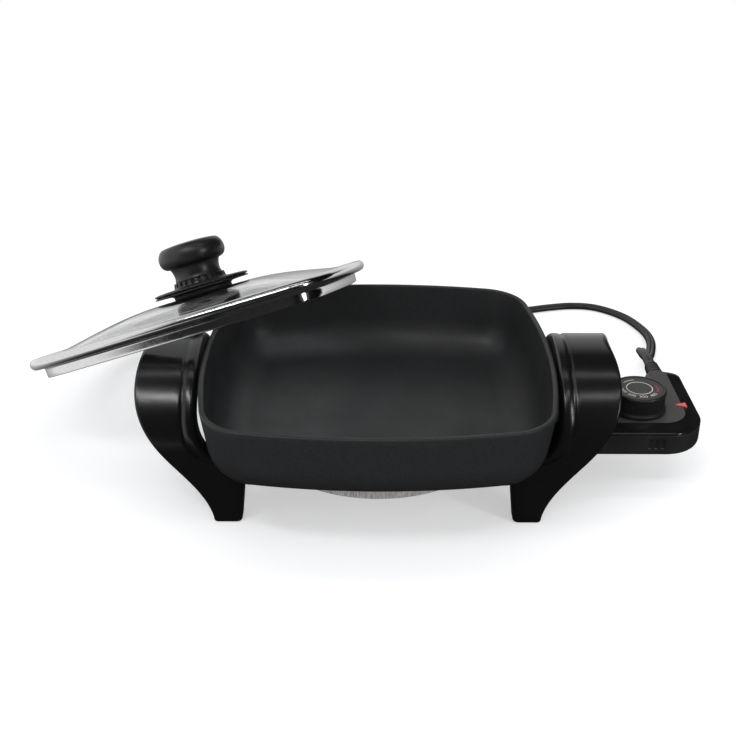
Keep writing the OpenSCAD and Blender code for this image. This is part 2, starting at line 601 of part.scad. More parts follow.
nose_x = flat_x + guard_t + bushing_len + 3;
nose_half = guard_half - guard_t - 0.5;
nose_low = base_bottom + guard_t + 0.5;
nose_high = stand_h - guard_t - 0.6;
socket_t = 0.8;
module control_base() {
    color([0.06, 0.06, 0.07]) difference() {
        union() {
            difference() {
                loft(concat(
                    [for (i = [0:4]) let (a = 90 * i / 4)
                        level(ctl_outline(bottom_round * (1 - sin(a))), ctl_z + bottom_round * (1 - cos(a)))],
                    [level(ctl_outline(0), seam_z)]), apex = ctl_apex);
                translate([0, 0, ctl_z + ctl_wall]) linear_extrude(ctl_h) polygon(ctl_outline(ctl_wall));
            }
            // nose that enters the terminal guard, with the probe and the contacts
            translate([nose_x, -nose_half, nose_low]) cube([ctl_x0 - nose_x + 14, 2 * nose_half, nose_high - nose_low]);
            for (p = screw_spots) translate([p.x, p.y, ctl_z + 1]) cylinder(r = ctl_boss_r, h = seam_z - ctl_z - 1 - fit, $fn = 32);
            // block that holds the strain relief
            translate([relief_x - 7, ctl_back - 12, ctl_z + 1]) cube([14, 5, relief_z - ctl_z - 1]);
        }
        bar_x(nose_x - 1, ctl_x0 + 15, probe_r + fit, 0, pin_z);
        both_y() bar_x(nose_x - 1, ctl_x0 + 15, pin_r + 0.2 + socket_t + fit, pin_side, pin_z);
        for (p = screw_spots) translate([p.x, p.y, ctl_z - 1]) {
            cylinder(r = ctl_screw_r + fit, h = ctl_h, $fn = 32);
            cylinder(r = 2.6, h = 3, $fn = 32);
        }
        translate([relief_x, ctl_back + 1, relief_z]) rotate([90, 0, 0]) cylinder(r = relief_r + fit, h = 14, $fn = 48);
        // three short grip slots near the front corner
        for (i = [0:2]) translate([ctl_x1 - 36 + 4 * i, -neck_w / 2 - 1, ctl_z + 6]) cube([1.6, 1.9, seam_z - ctl_z - 8]);
    }
}
module control_screws() {
    color([0.75, 0.75, 0.77]) for (p = screw_spots) translate([p.x, p.y, ctl_z + 0.4]) {
        cylinder(r = 2.4, h = 1.6, $fn = 32);
        cylinder(r = ctl_screw_r, h = seam_z - ctl_z - 0.4 + screw_bite, $fn = 32);
    }
}
module contact_sockets() {
    color([0.8, 0.65, 0.35]) both_y() difference() {
        bar_x(nose_x + 1, ctl_x0 + 19, pin_r + 0.2 + socket_t, pin_side, pin_z);
        bar_x(nose_x, ctl_x0 + 14, pin_r + 0.2, pin_side, pin_z);
    }
}
module probe_rod() {
    color([0.7, 0.7, 0.72]) {
        translate([probe_tip + probe_r, 0, pin_z]) sphere(r = probe_r, $fn = 48);
        bar_x(probe_tip + probe_r, ctl_x0 + 24, probe_r, 0, pin_z);
    }
}
// A folded strip from the probe's end to under the dial's shaft
blade_z = pin_z + probe_r + 0.6;
module thermostat_blade() {
    color([0.75, 0.6, 0.35]) {
        translate([ctl_x0 + 16, -4, pin_z + probe_r]) cube([8, 8, 0.6]);
        translate([ctl_x0 + 16, -3, blade_z]) cube([dial_at.x - ctl_x0 - 12, 6, 0.8]);
    }
}
module contact_leaf() {
    color([0.8, 0.5, 0.3]) for (s = [0, 1]) mirror([0, s, 0]) {
        translate([ctl_x0 + 19, pin_side - 2.5, pin_z - 0.4]) cube([dial_at.x - ctl_x0 - 16, 5, 0.8]);
        translate([dial_at.x - 1, pin_side - 2.5, ctl_z + ctl_wall]) cube([4, 5, pin_z - 0.4 - ctl_z - ctl_wall]);
    }
}
shaft_low = blade_z + 0.8 + rest_gap;
module dial_bush() {
    color([0.75, 0.65, 0.4]) translate([dial_at.x, dial_at.y, seam_z]) difference() {
        union() {
            cylinder(r = bush_r, h = cover_h, $fn = 64);
            translate([0, 0, 0.4]) cylinder(r = bush_r + 1.8, h = cover_h - ctl_wall - 0.5, $fn = 64);
        }
        translate([0, 0, -1]) cylinder(r = shaft_r + run_fit, h = cover_h + 2, $fn = 64);
    }
}
module pilot_lens() {
    color([0.8, 0.05, 0.05]) translate([lens_at.x, lens_at.y, seam_z + 0.6]) rotate([0, 0, 180]) {
        cylinder(r = lens_r, h = cover_h - 0.3, $fn = 3);
        cylinder(r = lens_r + 1.4, h = cover_h - ctl_wall - 0.7, $fn = 3);
    }
}
lamp_r = 2.4;
module pilot_lamp() {
    color([0.95, 0.7, 0.6]) translate([lens_at.x, lens_at.y, ctl_z + ctl_wall]) {
        cylinder(r = lamp_r + 0.6, h = 4, $fn = 32);
        cylinder(r = lamp_r, h = seam_z - ctl_z - ctl_wall - lamp_r, $fn = 32);
        translate([0, 0, seam_z - ctl_z - ctl_wall - lamp_r]) sphere(r = lamp_r, $fn = 32);
    }
}
// A tapered boot with five ribs round it; its groove holds the housing's wall
rib_n = 5;
module strain_relief() {
    color([0.06, 0.06, 0.07]) translate([relief_x, ctl_back, relief_z]) rotate([-90, 0, 0]) rotate_extrude($fn = 64)
        polygon(concat([[0, -ctl_wall - 2.4], [relief_r + 0.9, -ctl_wall - 2.4], [relief_r + 0.9, -ctl_wall - fit],
                [relief_r, -ctl_wall - fit], [relief_r, fit], [relief_r + 1.8, fit], [relief_r + 1.8, 2.4]],
            [for (i = [0:rib_n - 1]) let (y = 3.6 + i * (relief_len - 5) / rib_n, r = relief_r + 1 - 1.6 * i / rib_n,
                p = (relief_len - 5) / rib_n) each [[r - 1, y - 0.9], [r - 1, y], [r + 0.2, y + 0.3], [r + 0.2, y + p - 1.4]]],
            [[cord_w / 2 + 0.3, relief_len - 1], [cord_w / 2 + 0.1, relief_len], [0, relief_len]]));
}

// ---- Dial ----

dial_gap = rest_gap + 0.1;
face_r = dial_r - 4;
face_t = 0.5;
module dial_knob() {
    color([0.05, 0.05, 0.06]) translate([dial_at.x, dial_at.y, ctl_top + dial_gap]) difference() {
        rotate_extrude($fn = 120) polygon([[0, 0], [dial_r, 0], [dial_r, 1.6], [dial_r - 1.2, 2.2],
            [dial_r - 1.5, dial_h * 0.72], [dial_r - 0.6, dial_h * 0.76], [dial_r - 0.6, dial_h - 1],
            [dial_r - 1.6, dial_h], [0, dial_h]]);
        for (i = [0:flutes - 1]) rotate([0, 0, 360 * i / flutes]) translate([dial_r - 0.6, 0, 2.2])
            cylinder(r = 0.45 * PI * dial_r / flutes, h = dial_h * 0.5, $fn = 16);
        translate([0, 0, dial_h - face_t]) cylinder(r = face_r + fit, h = 2, $fn = 96);
        translate([0, 0, -1]) cylinder(r = shaft_r + fit, h = dial_h * 0.7 + 1, $fn = 64);
    }
}
module dial_face() {
    color([0.1, 0.1, 0.1]) translate([dial_at.x, dial_at.y, ctl_top + dial_gap + dial_h - face_t])
        cylinder(r = face_r, h = face_t, $fn = 96);
}
module dial_shaft() {
    color([0.7, 0.7, 0.72]) translate([dial_at.x, dial_at.y, shaft_low])
        cylinder(r = shaft_r, h = ctl_top + dial_gap + dial_h * 0.7 - shaft_low, $fn = 64);
}

// ---- Cord ----

// The cord's middle line from the strain relief to the coil, chosen by eye; the ends follow the pieces
lie_z = cord_t / 2 + 0.1;
coil_at = [40, 200];
coil_z = 1 + cord_t / 2;
layer_step = cord_t + 0.9;
turn_step = cord_w + 1.6;
run_in = 12;
relief_end = [relief_x, ctl_back + relief_len, relief_z];
cord_route = concat(
    [relief_end, relief_end + [0, 11, 0]],
    [[188, 104, 37], [191, 118, 31], [196, 132, 22], [202, 146, 12], [208, 159, 5], [213, 173, lie_z],
     [217, 190, lie_z], [217, 206, lie_z], [213, 222, lie_z], [206, 238, lie_z], [195, 251, lie_z],
     [181, 260, lie_z], [164, 262, lie_z], [147, 259, lie_z], [130, 254, lie_z], [113, 249, lie_z],
     [96, 246, lie_z]],
    [[coil_at.x + run_in + 28, coil_at.y + coil_r + 0.5, lie_z + 0.3],
     [coil_at.x + run_in + 12, coil_at.y + coil_r, coil_z], [coil_at.x + run_in, coil_at.y + coil_r, coil_z]]);

// The coil: a layer that winds in, half a turn that climbs, and a layer that winds out again
coil_total = 2 * coil_turns + 0.5;
function coil_wind(t) = t < coil_turns + 0.25 ? t : coil_total - t;
function coil_climb(t) = let (u = min(1, max(0, (t - coil_turns) / 0.5))) u * u * (3 - 2 * u);
function coil_point(t) =
    let (r = coil_r - turn_step * coil_wind(t), a = 90 + 360 * t)
    [coil_at.x + r * cos(a), coil_at.y + r * sin(a), coil_z + layer_step * coil_climb(t)];
run_out = 32;
coil_route = concat(
    [[coil_at.x + run_in, coil_at.y + coil_r, coil_z]],
    [for (i = [0:round(coil_total * coil_steps)]) coil_point(i / coil_steps)],
    [for (x = [10, run_out - 8, run_out]) coil_point(coil_total) - [x, 0, 0]]);

function along(route, i) =
    i == 0 ? unit(route[1] - route[0]) :
    i == len(route) - 1 ? unit(route[i] - route[i - 1]) :
    unit(unit(route[i + 1] - route[i]) + unit(route[i] - route[i - 1]));
// A flat section across the route, wide side level: each corner as a share of the half width and height
flat_8 = [[1, 0.4], [0.72, 1], [-0.72, 1], [-1, 0.4], [-1, -0.4], [-0.72, -1], [0.72, -1], [1, -0.4]];
flat_6 = [[1, 0], [0.62, 1], [-0.62, 1], [-1, 0], [-0.62, -1], [0.62, -1]];
function cord_ring(route, i, corners) =
    let (d = along(route, i), side = unit(cross(d, [0, 0, 1])), up = cross(side, d))
    [for (c = corners) route[i] + side * c.x * cord_w / 2 + up * c.y * cord_t / 2];
module cord_tube(route, corners) {
    loft([for (i = [0:len(route) - 1]) cord_ring(route, i, corners)]);
}
module cord_stretch() { color([0.05, 0.05, 0.05]) cord_tube(cord_route, flat_8); }
module cord_coil() { color([0.05, 0.05, 0.05]) cord_tube(coil_route, flat_6); }

// Least gap between turns: distance of the section's corners from the section of any point more
// than a quarter turn away, taken as a box of the cord's width and thickness
function box_gap(p, q, d) =
    let (side = unit(cross(d, [0, 0, 1])), up = cross(side, d), v = p - q,
         a = max(0, abs(v * side) - cord_w / 2), b = max(0, abs(v * up) - cord_t / 2),
         c = max(0, abs(v * d) - 3))
    norm([a, b, c]);
coil_gap = min([for (i = [0:len(coil_route) - 1]) for (j = [0:len(coil_route) - 1])
    if (abs(i - j) > coil_steps / 4) for (p = cord_ring(coil_route, i, flat_6))
        box_gap(p, coil_route[j], along(coil_route, j))]);
function run_length(route) = [for (i = [1:len(route) - 1]) norm(route[i] - route[i - 1])]
    * [for (i = [1:len(route) - 1]) 1];
echo(coil_gap = coil_gap, cord_length = run_length(cord_route) + run_length(coil_route), lid_z = lid_z);

tie_wall = 0.8;
tie_w = 6;
module cord_tie() {
    low = coil_point(0.5);
    color([0.9, 0.9, 0.9]) translate([low.x - tie_w / 2, low.y - cord_w / 2 - 0.5, coil_z - cord_t / 2 - 0.1]) difference() {
        translate([0, -tie_wall - 0.6, -tie_wall]) cube([tie_w, cord_w + 2.6 + 2 * tie_wall, cord_t + layer_step + 0.3 + 2 * tie_wall]);
        translate([-1, -0.6, 0]) cube([tie_w + 2, cord_w + 2.6, cord_t + layer_step + 0.3]);
    }
}

coil_end = coil_route[len(coil_route) - 1];
plug_len = 34;
plug_high = 2 * coil_end.z;
module plug_body() {
    color([0.05, 0.05, 0.05]) translate([coil_end.x, coil_end.y, coil_end.z]) rotate([0, -90, 0]) {
        difference() {
            rotate_extrude($fn = 64) polygon([[0, 0], [cord_w / 2 + 0.4, 0], [cord_w / 2 + 0.4, 4],
                [cord_w / 2 + 1.6, 5], [cord_w / 2 + 2.2, 14], [0, 14]]);
            for (i = [0:2]) translate([0, 0, 5.5 + 2.6 * i]) difference() {
                cylinder(r = 12, h = 1.1, $fn = 48);
                translate([0, 0, -1]) cylinder(r = cord_w / 2 + 0.6, h = 3, $fn = 48);
            }
        }
        translate([0, 0, 14]) linear_extrude(plug_len - 14)
            polygon(rounded([[-plug_high / 2, -12.5, 3], [plug_high / 2, -12.5, 3],
                [plug_high / 2, 12.5, 3], [-plug_high / 2, 12.5, 3]]));
    }
}
prong = [16, 1.5, 6.3];
module plug_prongs() {
    color([0.8, 0.75, 0.6]) for (s = [-1, 1]) difference() {
        translate([coil_end.x - plug_len - prong.x, coil_end.y + s * 6.35 - prong.y / 2, coil_end.z - prong.z / 2]) cube(prong);
        translate([coil_end.x - plug_len - prong.x + 4, coil_end.y + s * 6.35 + 3, coil_end.z]) rotate([90, 0, 0])
            cylinder(r = 1.5, h = 6, $fn = 32);
    }
}

pan_body();
heating_base();
heating_element();
terminal_bushings();
terminal_guard();
left_handle();
right_handle();
handle_screws();
screw_washers();
lid_glass();
lid_rim();
lid_knob();
knob_saucer();
knob_gasket();
knob_insert();
knob_washer();
knob_screw();
control_cover();
control_base();
control_screws();
contact_sockets();
probe_rod();
thermostat_blade();
contact_leaf();
dial_bush();
pilot_lens();
pilot_lamp();
strain_relief();
dial_knob();
dial_face();
dial_shaft();
cord_stretch();
cord_coil();
cord_tie();
plug_body();
plug_prongs();
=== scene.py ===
"""Small electric skillet: a square cast pan on a heated base, two arched handles that are also its feet,
a glass lid that leans on the left handle and the pan, and a plug-in temperature control with its cord.
Metres. Z=0 is the worktop, +X points to the control and -Y to the front."""
import math

import bmesh
import bpy
import numpy as np
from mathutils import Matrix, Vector


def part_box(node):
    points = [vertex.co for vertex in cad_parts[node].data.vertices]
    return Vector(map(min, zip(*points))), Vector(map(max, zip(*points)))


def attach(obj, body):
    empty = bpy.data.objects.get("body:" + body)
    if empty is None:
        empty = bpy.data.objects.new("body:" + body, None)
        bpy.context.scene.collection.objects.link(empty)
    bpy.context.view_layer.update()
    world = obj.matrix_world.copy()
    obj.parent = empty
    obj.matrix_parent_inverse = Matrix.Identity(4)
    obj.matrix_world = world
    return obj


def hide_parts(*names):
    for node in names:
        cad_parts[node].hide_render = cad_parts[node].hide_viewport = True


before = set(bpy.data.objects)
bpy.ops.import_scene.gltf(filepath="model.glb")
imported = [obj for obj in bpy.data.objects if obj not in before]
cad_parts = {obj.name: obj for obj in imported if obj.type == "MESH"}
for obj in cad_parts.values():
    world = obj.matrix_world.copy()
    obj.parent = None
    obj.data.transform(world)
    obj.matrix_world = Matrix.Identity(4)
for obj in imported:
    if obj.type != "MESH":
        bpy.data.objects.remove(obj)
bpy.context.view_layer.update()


# ---- Camera ----
# The photograph's view: from the front, 27 degrees above the worktop. Its place and lens were fitted to
# the pan's rim, the heating base and the feet.
CAMERA_AT = (-0.002, -0.617, 0.3921)
LOOK_AT = (-0.006, 0.0, 0.0766)
LENS_MM = 55.2


def new_object(name, data):
    """An object in the scene."""
    obj = bpy.data.objects.new(name, data)
    bpy.context.scene.collection.objects.link(obj)
    return obj


def aimed(name, data, spot, aim):
    """A camera or lamp at one place, turned to another."""
    obj = new_object(name, data)
    obj.location = spot
    obj.rotation_euler = (Vector(aim) - Vector(spot)).to_track_quat("-Z", "Y").to_euler()
    return obj


camera = aimed("camera", bpy.data.cameras.new("camera"), CAMERA_AT, LOOK_AT)
camera.data.lens = LENS_MM
bpy.context.scene.camera = camera
bpy.context.scene.view_settings.view_transform = "Standard"


# ---- Cord ----
# A flat two-core mains lead with a groove down its middle. It leaves the control's tail, drops to the
# worktop, passes behind the pan, and its unseen rest lies in a small tied coil with the plug beside it.
CORD_W = 0.0072
CORD_T = 0.0046
CORD_CORE_R = 0.0023
COIL_AT = np.array([0.040, 0.200])
COIL_R = 0.044
COIL_WINDS = 0.75
COIL_Z = 0.0033
TURN_STEP = CORD_W + 0.0016
LAYER_STEP = CORD_T + 0.0009
COIL_TURNS = 2 * COIL_WINDS + 0.5
RUN_IN = 0.012
RUN_OUT = 0.032
CORD_EXIT = (0.1885, 0.079, 0.039)
ROUTE = [
    (0.1885, 0.079, 0.039), (0.1885, 0.090, 0.039), (0.188, 0.104, 0.037), (0.191, 0.118, 0.031),
    (0.196, 0.132, 0.022), (0.202, 0.146, 0.012), (0.208, 0.159, 0.005), (0.213, 0.173, 0.0024),
    (0.217, 0.190, 0.0024), (0.217, 0.206, 0.0024), (0.213, 0.222, 0.0024), (0.206, 0.238, 0.0024),
    (0.195, 0.251, 0.0024), (0.181, 0.260, 0.0024), (0.164, 0.262, 0.0024), (0.147, 0.259, 0.0024),
    (0.130, 0.254, 0.0024), (0.113, 0.249, 0.0024), (0.096, 0.246, 0.0024), (0.080, 0.2445, 0.0027),
    (0.064, 0.244, 0.0033), (0.052, 0.244, 0.0033)]


def through(points, steps):
    """A smooth line through points: each stretch is the cubic whose slope at a point is half the chord
    between that point's two neighbours."""
    p = np.asarray(points, float)
    p = np.vstack([2 * p[0] - p[1], p, 2 * p[-1] - p[-2]])
    a, b, c, d = (p[i:len(p) - 3 + i, None] for i in range(4))
    t = np.linspace(0, 1, steps, endpoint=False)[None, :, None]
    line = b + 0.5 * t * (c - a + t * (2 * a - 5 * b + 4 * c - d + t * (3 * (b - c) + d - a)))
    return np.vstack([line.reshape(-1, p.shape[1]), p[-2]])


def smooth_step(x):
    """0 before 0, 1 after 1, and 3x^2 - 2x^3 between."""
    x = np.clip(x, 0, 1)
    return x * x * (3 - 2 * x)


def coil_line(steps):
    """The coil's middle line over its turns t: its radius shrinks by a step each turn and grows again
    past the middle, its angle is 90 + 360 t degrees, and it climbs one layer in the half turn between."""
    t = np.linspace(0, COIL_TURNS, steps)
    r = COIL_R - TURN_STEP * np.where(t < COIL_WINDS + 0.25, t, COIL_TURNS - t)
    a = np.pi / 2 + 2 * np.pi * t
    z = COIL_Z + LAYER_STEP * smooth_step((t - COIL_WINDS) / 0.5)
    return np.stack([COIL_AT[0] + r * np.cos(a), COIL_AT[1] + r * np.sin(a), z], 1)


def unit(v):
    """Each row divided by its length."""
    return v / np.maximum(np.linalg.norm(v, axis=-1, keepdims=True), 1e-12)


def grid_faces(rows, columns, hoop):
    """Quads between neighbouring rows and columns. The last column joins the first, and in a hoop the
    last row joins the first too."""
    i, j = np.meshgrid(np.arange(rows - (not hoop)), np.arange(columns), indexing="ij")
    i2, j2 = (i + 1) % rows, (j + 1) % columns
    corners = [i * columns + j, i * columns + j2, i2 * columns + j2, i2 * columns + j]
    return np.stack(corners, -1).reshape(-1, 4)


def piece(name, parts, material, body, node=None, sharp=50, even=False):
    """One object from a list of (points, faces), at the origin. Doubles are merged, so poles and seams
    close, and the faces are turned outwards. Edges sharper than the given angle stay sharp."""
    mesh = bpy.data.meshes.new(name)
    points, faces = [], []
    for part_points, part_faces in parts:
        faces += [[i + len(points) for i in face] for face in part_faces]
        points += part_points.reshape(-1, 3).tolist()
    mesh.from_pydata(points, [], faces)
    work = bmesh.new()
    work.from_mesh(mesh)
    bmesh.ops.remove_doubles(work, verts=work.verts, dist=1e-7)
    bmesh.ops.dissolve_degenerate(work, edges=work.edges, dist=1e-8)
    bmesh.ops.recalc_face_normals(work, faces=work.faces)
    work.to_mesh(mesh)
    work.free()
    mesh.shade_smooth()
    mesh.set_sharp_from_angle(angle=math.radians(sharp))
    mesh.materials.append(material)
    obj = new_object(name, mesh)
    if even:
        obj.modifiers.new("weigh_normals", "WEIGHTED_NORMAL").keep_sharp = True
    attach(obj, body)
    if node:
        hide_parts(*([node] if isinstance(node, str) else node))
    return obj


def loft(rings, hoop=False):
    """(points, faces) of the skin through equal rings, rings[i, j] = point j of ring i: closed on itself
    like a hoop, or capped at both ends."""
    rings = np.asarray(rings, float)
    m, n = rings.shape[:2]
    faces = grid_faces(m, n, hoop).tolist()
    if not hoop:
        faces += [list(range(n))[::-1], list(range((m - 1) * n, m * n))]
    return rings, faces


def sweep(line, section):
    """A section carried along a line: each of its points (a, b) lies a to the level side of the line
    and b above it, where up is square to both the line and that side."""
    ahead = unit(np.gradient(line, axis=0))
    side = unit(np.cross(ahead, [0, 0, 1.0]))
    up = np.cross(side, ahead)
    return line[:, None] + side[:, None] * section[None, :, :1] + up[:, None] * section[None, :, 1:]


def new_material(name, colour, rough, metal=0.0, **sockets):
    """A Principled material with its even values set on the shader's own sockets."""
    material = bpy.data.materials.new(name)
    material.use_nodes = True
    shader = material.node_tree.nodes["Principled BSDF"]
    shader.inputs["Base Color"].default_value = (*colour, 1)
    shader.inputs["Roughness"].default_value = rough
    shader.inputs["Metallic"].default_value = metal
    for socket, value in sockets.items():
        shader.inputs[socket.replace("_", " ")].default_value = value
    return material


def add_node(material, kind, inputs=None, **settings):
    """A node with its settings made and its inputs set or, where given another node's output, linked."""
    tree = material.node_tree
    node = tree.nodes.new(kind)
    for key, value in settings.items():
        setattr(node, key, value)
    for key, value in (inputs or {}).items():
        if isinstance(value, bpy.types.NodeSocket):
            tree.links.new(value, node.inputs[key])
        else:
            node.inputs[key].default_value = value
    return node


def object_noise(material, size, detail=3.0, stretch=(1, 1, 1)):
    """Noise on Object coordinates whose lumps are about the given size in metres, drawn out by stretch."""
    place = add_node(material, "ShaderNodeTexCoord").outputs["Object"]
    scaled = add_node(material, "ShaderNodeVectorMath", {0: place, 1: stretch}, operation="MULTIPLY")
    return add_node(material, "ShaderNodeTexNoise",
                    {"Vector": scaled.outputs[0], "Scale": 1 / size, "Detail": detail}).outputs["Fac"]


def spread(material, value, low, high, start=0.3, end=0.7):
    """A value between low and high, as the input goes from start to end."""
    return add_node(material, "ShaderNodeMapRange", {
        "Value": value, "From Min": start, "From Max": end, "To Min": low, "To Max": high}).outputs[0]


def feed(material, socket, value):
    """Links a value to one of the shader's sockets."""
    material.node_tree.links.new(value, material.node_tree.nodes["Principled BSDF"].inputs[socket])


def bumped(material, height, depth):
    """Gives the shader a bump of the given depth in metres."""
    bump = add_node(material, "ShaderNodeBump", {"Height": height, "Distance": depth})
    feed(material, "Normal", bump.outputs[0])


def tinted(material, value, low, high):
    """Gives the shader a colour between low and high, as the value goes from 0 to 1."""
    mix = add_node(material, "ShaderNodeMix", {0: value, 6: (*low, 1), 7: (*high, 1)}, data_type="RGBA")
    feed(material, "Base Color", mix.outputs[2])


def plastic(name, colour, rough, grain=0.0004, depth=0.00002, change=0.06):
    """Moulded plastic or rubber: a fine grain in the surface, and slow changes in its gloss and shade."""
    material = new_material(name, colour, rough)
    slow = object_noise(material, 0.012)
    feed(material, "Roughness", spread(material, slow, rough - change, rough + change))
    tinted(material, spread(material, slow, 0, 1), [0.8 * c for c in colour], [1.25 * c for c in colour])
    bumped(material, object_noise(material, grain, 2), depth)
    return material


cord_black = plastic("cord_black", (0.016, 0.016, 0.017), 0.36, 0.0006, 0.00002)

core_shift = 0.5 * CORD_W - CORD_CORE_R
meet_angle = math.asin(core_shift / CORD_CORE_R)
lobe = np.linspace(-math.pi / 2 - meet_angle, math.pi / 2 + meet_angle, 15)[:-1]
one_core = np.stack([core_shift + CORD_CORE_R * np.cos(lobe), CORD_CORE_R * np.sin(lobe)], 1)
cord_section = np.vstack([one_core, -one_core])
coil = coil_line(220)
run_in_end = np.array([[COIL_AT[0] + RUN_IN, COIL_AT[1] + COIL_R, COIL_Z]])
tail = coil[-1] - np.outer([0.008, 0.016, 0.024, RUN_OUT], [1, 0, 0])
cord_line = np.vstack([through(ROUTE, 6), run_in_end - [[0.006, 0, 0]], coil, tail])
# where it levels out it lies on the worktop, not in it
cord_line[:, 2] = np.maximum(cord_line[:, 2], 0.5 * CORD_T)
cord = piece("cord", [loft(sweep(cord_line, cord_section))], cord_black, "control",
             ["cord_stretch", "cord_coil"])


# ---- Plug ----
# A moulded two-pin plug: a ribbed boot that grips the cord, a flat body with a finger waist, and two
# flat brass blades.
PLUG_FROM = cord_line[-1]
PLUG_BOOT = 0.014
PLUG_LEN = 0.034
PLUG_HALF_W = 0.0125
PLUG_HALF_H = PLUG_FROM[2]
PLUG_CORNER = 0.004
PLUG_EDGE = 0.0016
PLUG_WAIST = 0.0016
BOOT_R = 0.0041
BOOT_FLARE = 0.0017
BOOT_FLARE_TO = 0.010
BOOT_RIB = 0.0005
BOOT_STEP = 0.0028


def revolved(profile, steps=160, flute=None):
    """(points, faces) of a profile of (radius, height) turned round the Z axis. flute(angle, radius,
    height) may change the radius."""
    a = np.linspace(0, 2 * np.pi, steps, endpoint=False)
    r, z = np.array(profile, float).T
    radius = np.repeat(r[:, None], steps, 1)
    if flute:
        radius = flute(a[None], radius, z[:, None])
    points = np.stack([radius * np.cos(a), radius * np.sin(a), np.repeat(z[:, None], steps, 1)], -1)
    return points, grid_faces(len(r), steps, False)


def placed(part, at, turn=np.eye(3)):
    """The part turned by a matrix, whose rows say where its X, Y and Z go, and moved by at."""
    return part[0] @ turn + at, part[1]


def rounded(corners, inset=0.0, steps=8):
    """An outline from (x, y, radius) going anticlockwise, each corner an arc tangent to both edges; an
    inset moves every edge in by as much."""
    c = np.array(corners, float)
    before = unit(c[:, :2] - np.roll(c[:, :2], 1, 0))
    after = unit(np.roll(c[:, :2], -1, 0) - c[:, :2])
    left = np.stack([-before[:, 1], before[:, 0]], 1)
    left_after = np.stack([-after[:, 1], after[:, 0]], 1)
    bend = np.arctan2(before[:, 0] * after[:, 1] - before[:, 1] * after[:, 0], (before * after).sum(1))
    turn = np.sign(bend)[:, None]
    mitre = (left + left_after) / (1 + (before * after).sum(1))[:, None]
    r = np.maximum(0.0002, c[:, 2:] - turn * inset)
    centre = c[:, :2] + (inset + r * turn) * mitre
    a = (bend[:, None] * np.linspace(0, 1, steps + 1))[..., None]
    spoke = left[:, None] * np.cos(a) - before[:, None] * np.sin(a)
    return (centre[:, None] - (turn * r)[:, None] * spoke).reshape(-1, 2)


def box_corners(x0, x1, half_y, r):
    """The corners of a box's level outline, each with its radius."""
    return [(x0, -half_y, r), (x1, -half_y, r), (x1, half_y, r), (x0, half_y, r)]


def level(outline, z):
    """A flat outline at height z."""
    return np.column_stack([outline, np.full(len(outline), z)])


boot_h = np.linspace(0, PLUG_BOOT, 57)
boot_rib = BOOT_RIB * (0.5 - 0.5 * np.cos(2 * np.pi * boot_h / BOOT_STEP)) * (boot_h > BOOT_STEP)
boot_r = BOOT_R + BOOT_FLARE * smooth_step(boot_h / BOOT_FLARE_TO) - boot_rib
boot = revolved([(0, 0), (BOOT_R - 0.0005, 0)] + list(zip(boot_r, boot_h)) + [(0, PLUG_BOOT)], 64)
body_h = np.linspace(0, 1, 25)
# both ends of the body are rounded over their last 8 percent, and its sides are drawn in between
from_edge = (1 - np.minimum(body_h, 1 - body_h) / 0.08).clip(0)
edge_fall = PLUG_EDGE * (1 - np.sqrt(np.clip(1 - from_edge ** 2, 0, 1)))
waist = PLUG_WAIST * np.sin(np.pi * body_h) ** 2
rings = [level(rounded(box_corners(e - PLUG_HALF_H, PLUG_HALF_H - e, PLUG_HALF_W - e - w, PLUG_CORNER)),
               PLUG_BOOT + (PLUG_LEN - PLUG_BOOT) * h) for h, e, w in zip(body_h, edge_fall, waist)]
along_minus_x = np.array([[0, 0, 1], [0, 1, 0], [-1, 0, 0]])
plug_parts = [placed(part, PLUG_FROM, along_minus_x) for part in (boot, loft(rings))]
plug_body = piece("plug", plug_parts, cord_black, "control", "plug_body", even=True)


def combined(material, operation, a, b):
    """The result of a sum on two values, such as ADD or MAXIMUM."""
    return add_node(material, "ShaderNodeMath", {0: a, 1: b}, operation=operation).outputs[0]


def polished(name, colour, rough, scratch=0.0008, stretch=(1, 1, 1), change=0.06, depth=0.000004):
    """Bare metal: fine scratches along one direction, and slow changes in how sharply it mirrors."""
    material = new_material(name, colour, rough, 1.0)
    lines = object_noise(material, scratch, 4, stretch)
    slow = object_noise(material, 0.02)
    both = combined(material, "ADD", lines, slow)
    feed(material, "Roughness", spread(material, both, rough - change, rough + change, 0.7, 1.3))
    tinted(material, lines, [0.85 * c for c in colour], [min(1, 1.08 * c) for c in colour])
    bumped(material, lines, depth)
    return material


brass = polished("brass", (0.74, 0.58, 0.30), 0.25, stretch=(0.2, 1, 1))


# ---- Floor, backdrop and lights ----
# A white studio: a pale floor that fades into white, soft light from all round, and narrow strip lamps
# that draw the highlights. Mirrors see white only behind and to the left, as with black cards in front.
FLOOR_HALF = 3.0
FLOOR_GLOW = 0.45
FADE_FROM = 0.35
FADE_TO = 0.75
STUDIO_LIGHT = 0.62
BLACK_CARD = 0.03

floor_mesh = bpy.data.meshes.new("floor")
floor_corners = FLOOR_HALF * np.array([(-1, -1, 0), (1, -1, 0), (1, 1, 0), (-1, 1, 0)])
floor_mesh.from_pydata(floor_corners.tolist(), [], [(0, 1, 2, 3)])
floor = new_object("floor", floor_mesh)
floor_white = new_material("floor_white", (0.74, 0.75, 0.77), 0.9, Specular_IOR_Level=0.0)
ray = add_node(floor_white, "ShaderNodeLightPath").outputs
seen = combined(floor_white, "MAXIMUM", ray["Is Camera Ray"], ray["Is Transmission Ray"])
lift = combined(floor_white, "MULTIPLY", seen, FLOOR_GLOW)
glow = add_node(floor_white, "ShaderNodeEmission", {"Strength": lift})
floor_shader = floor_white.node_tree.nodes["Principled BSDF"]
near = add_node(floor_white, "ShaderNodeAddShader", {0: floor_shader.outputs[0], 1: glow.outputs[0]})
far = add_node(floor_white, "ShaderNodeEmission", {"Strength": 1.0})
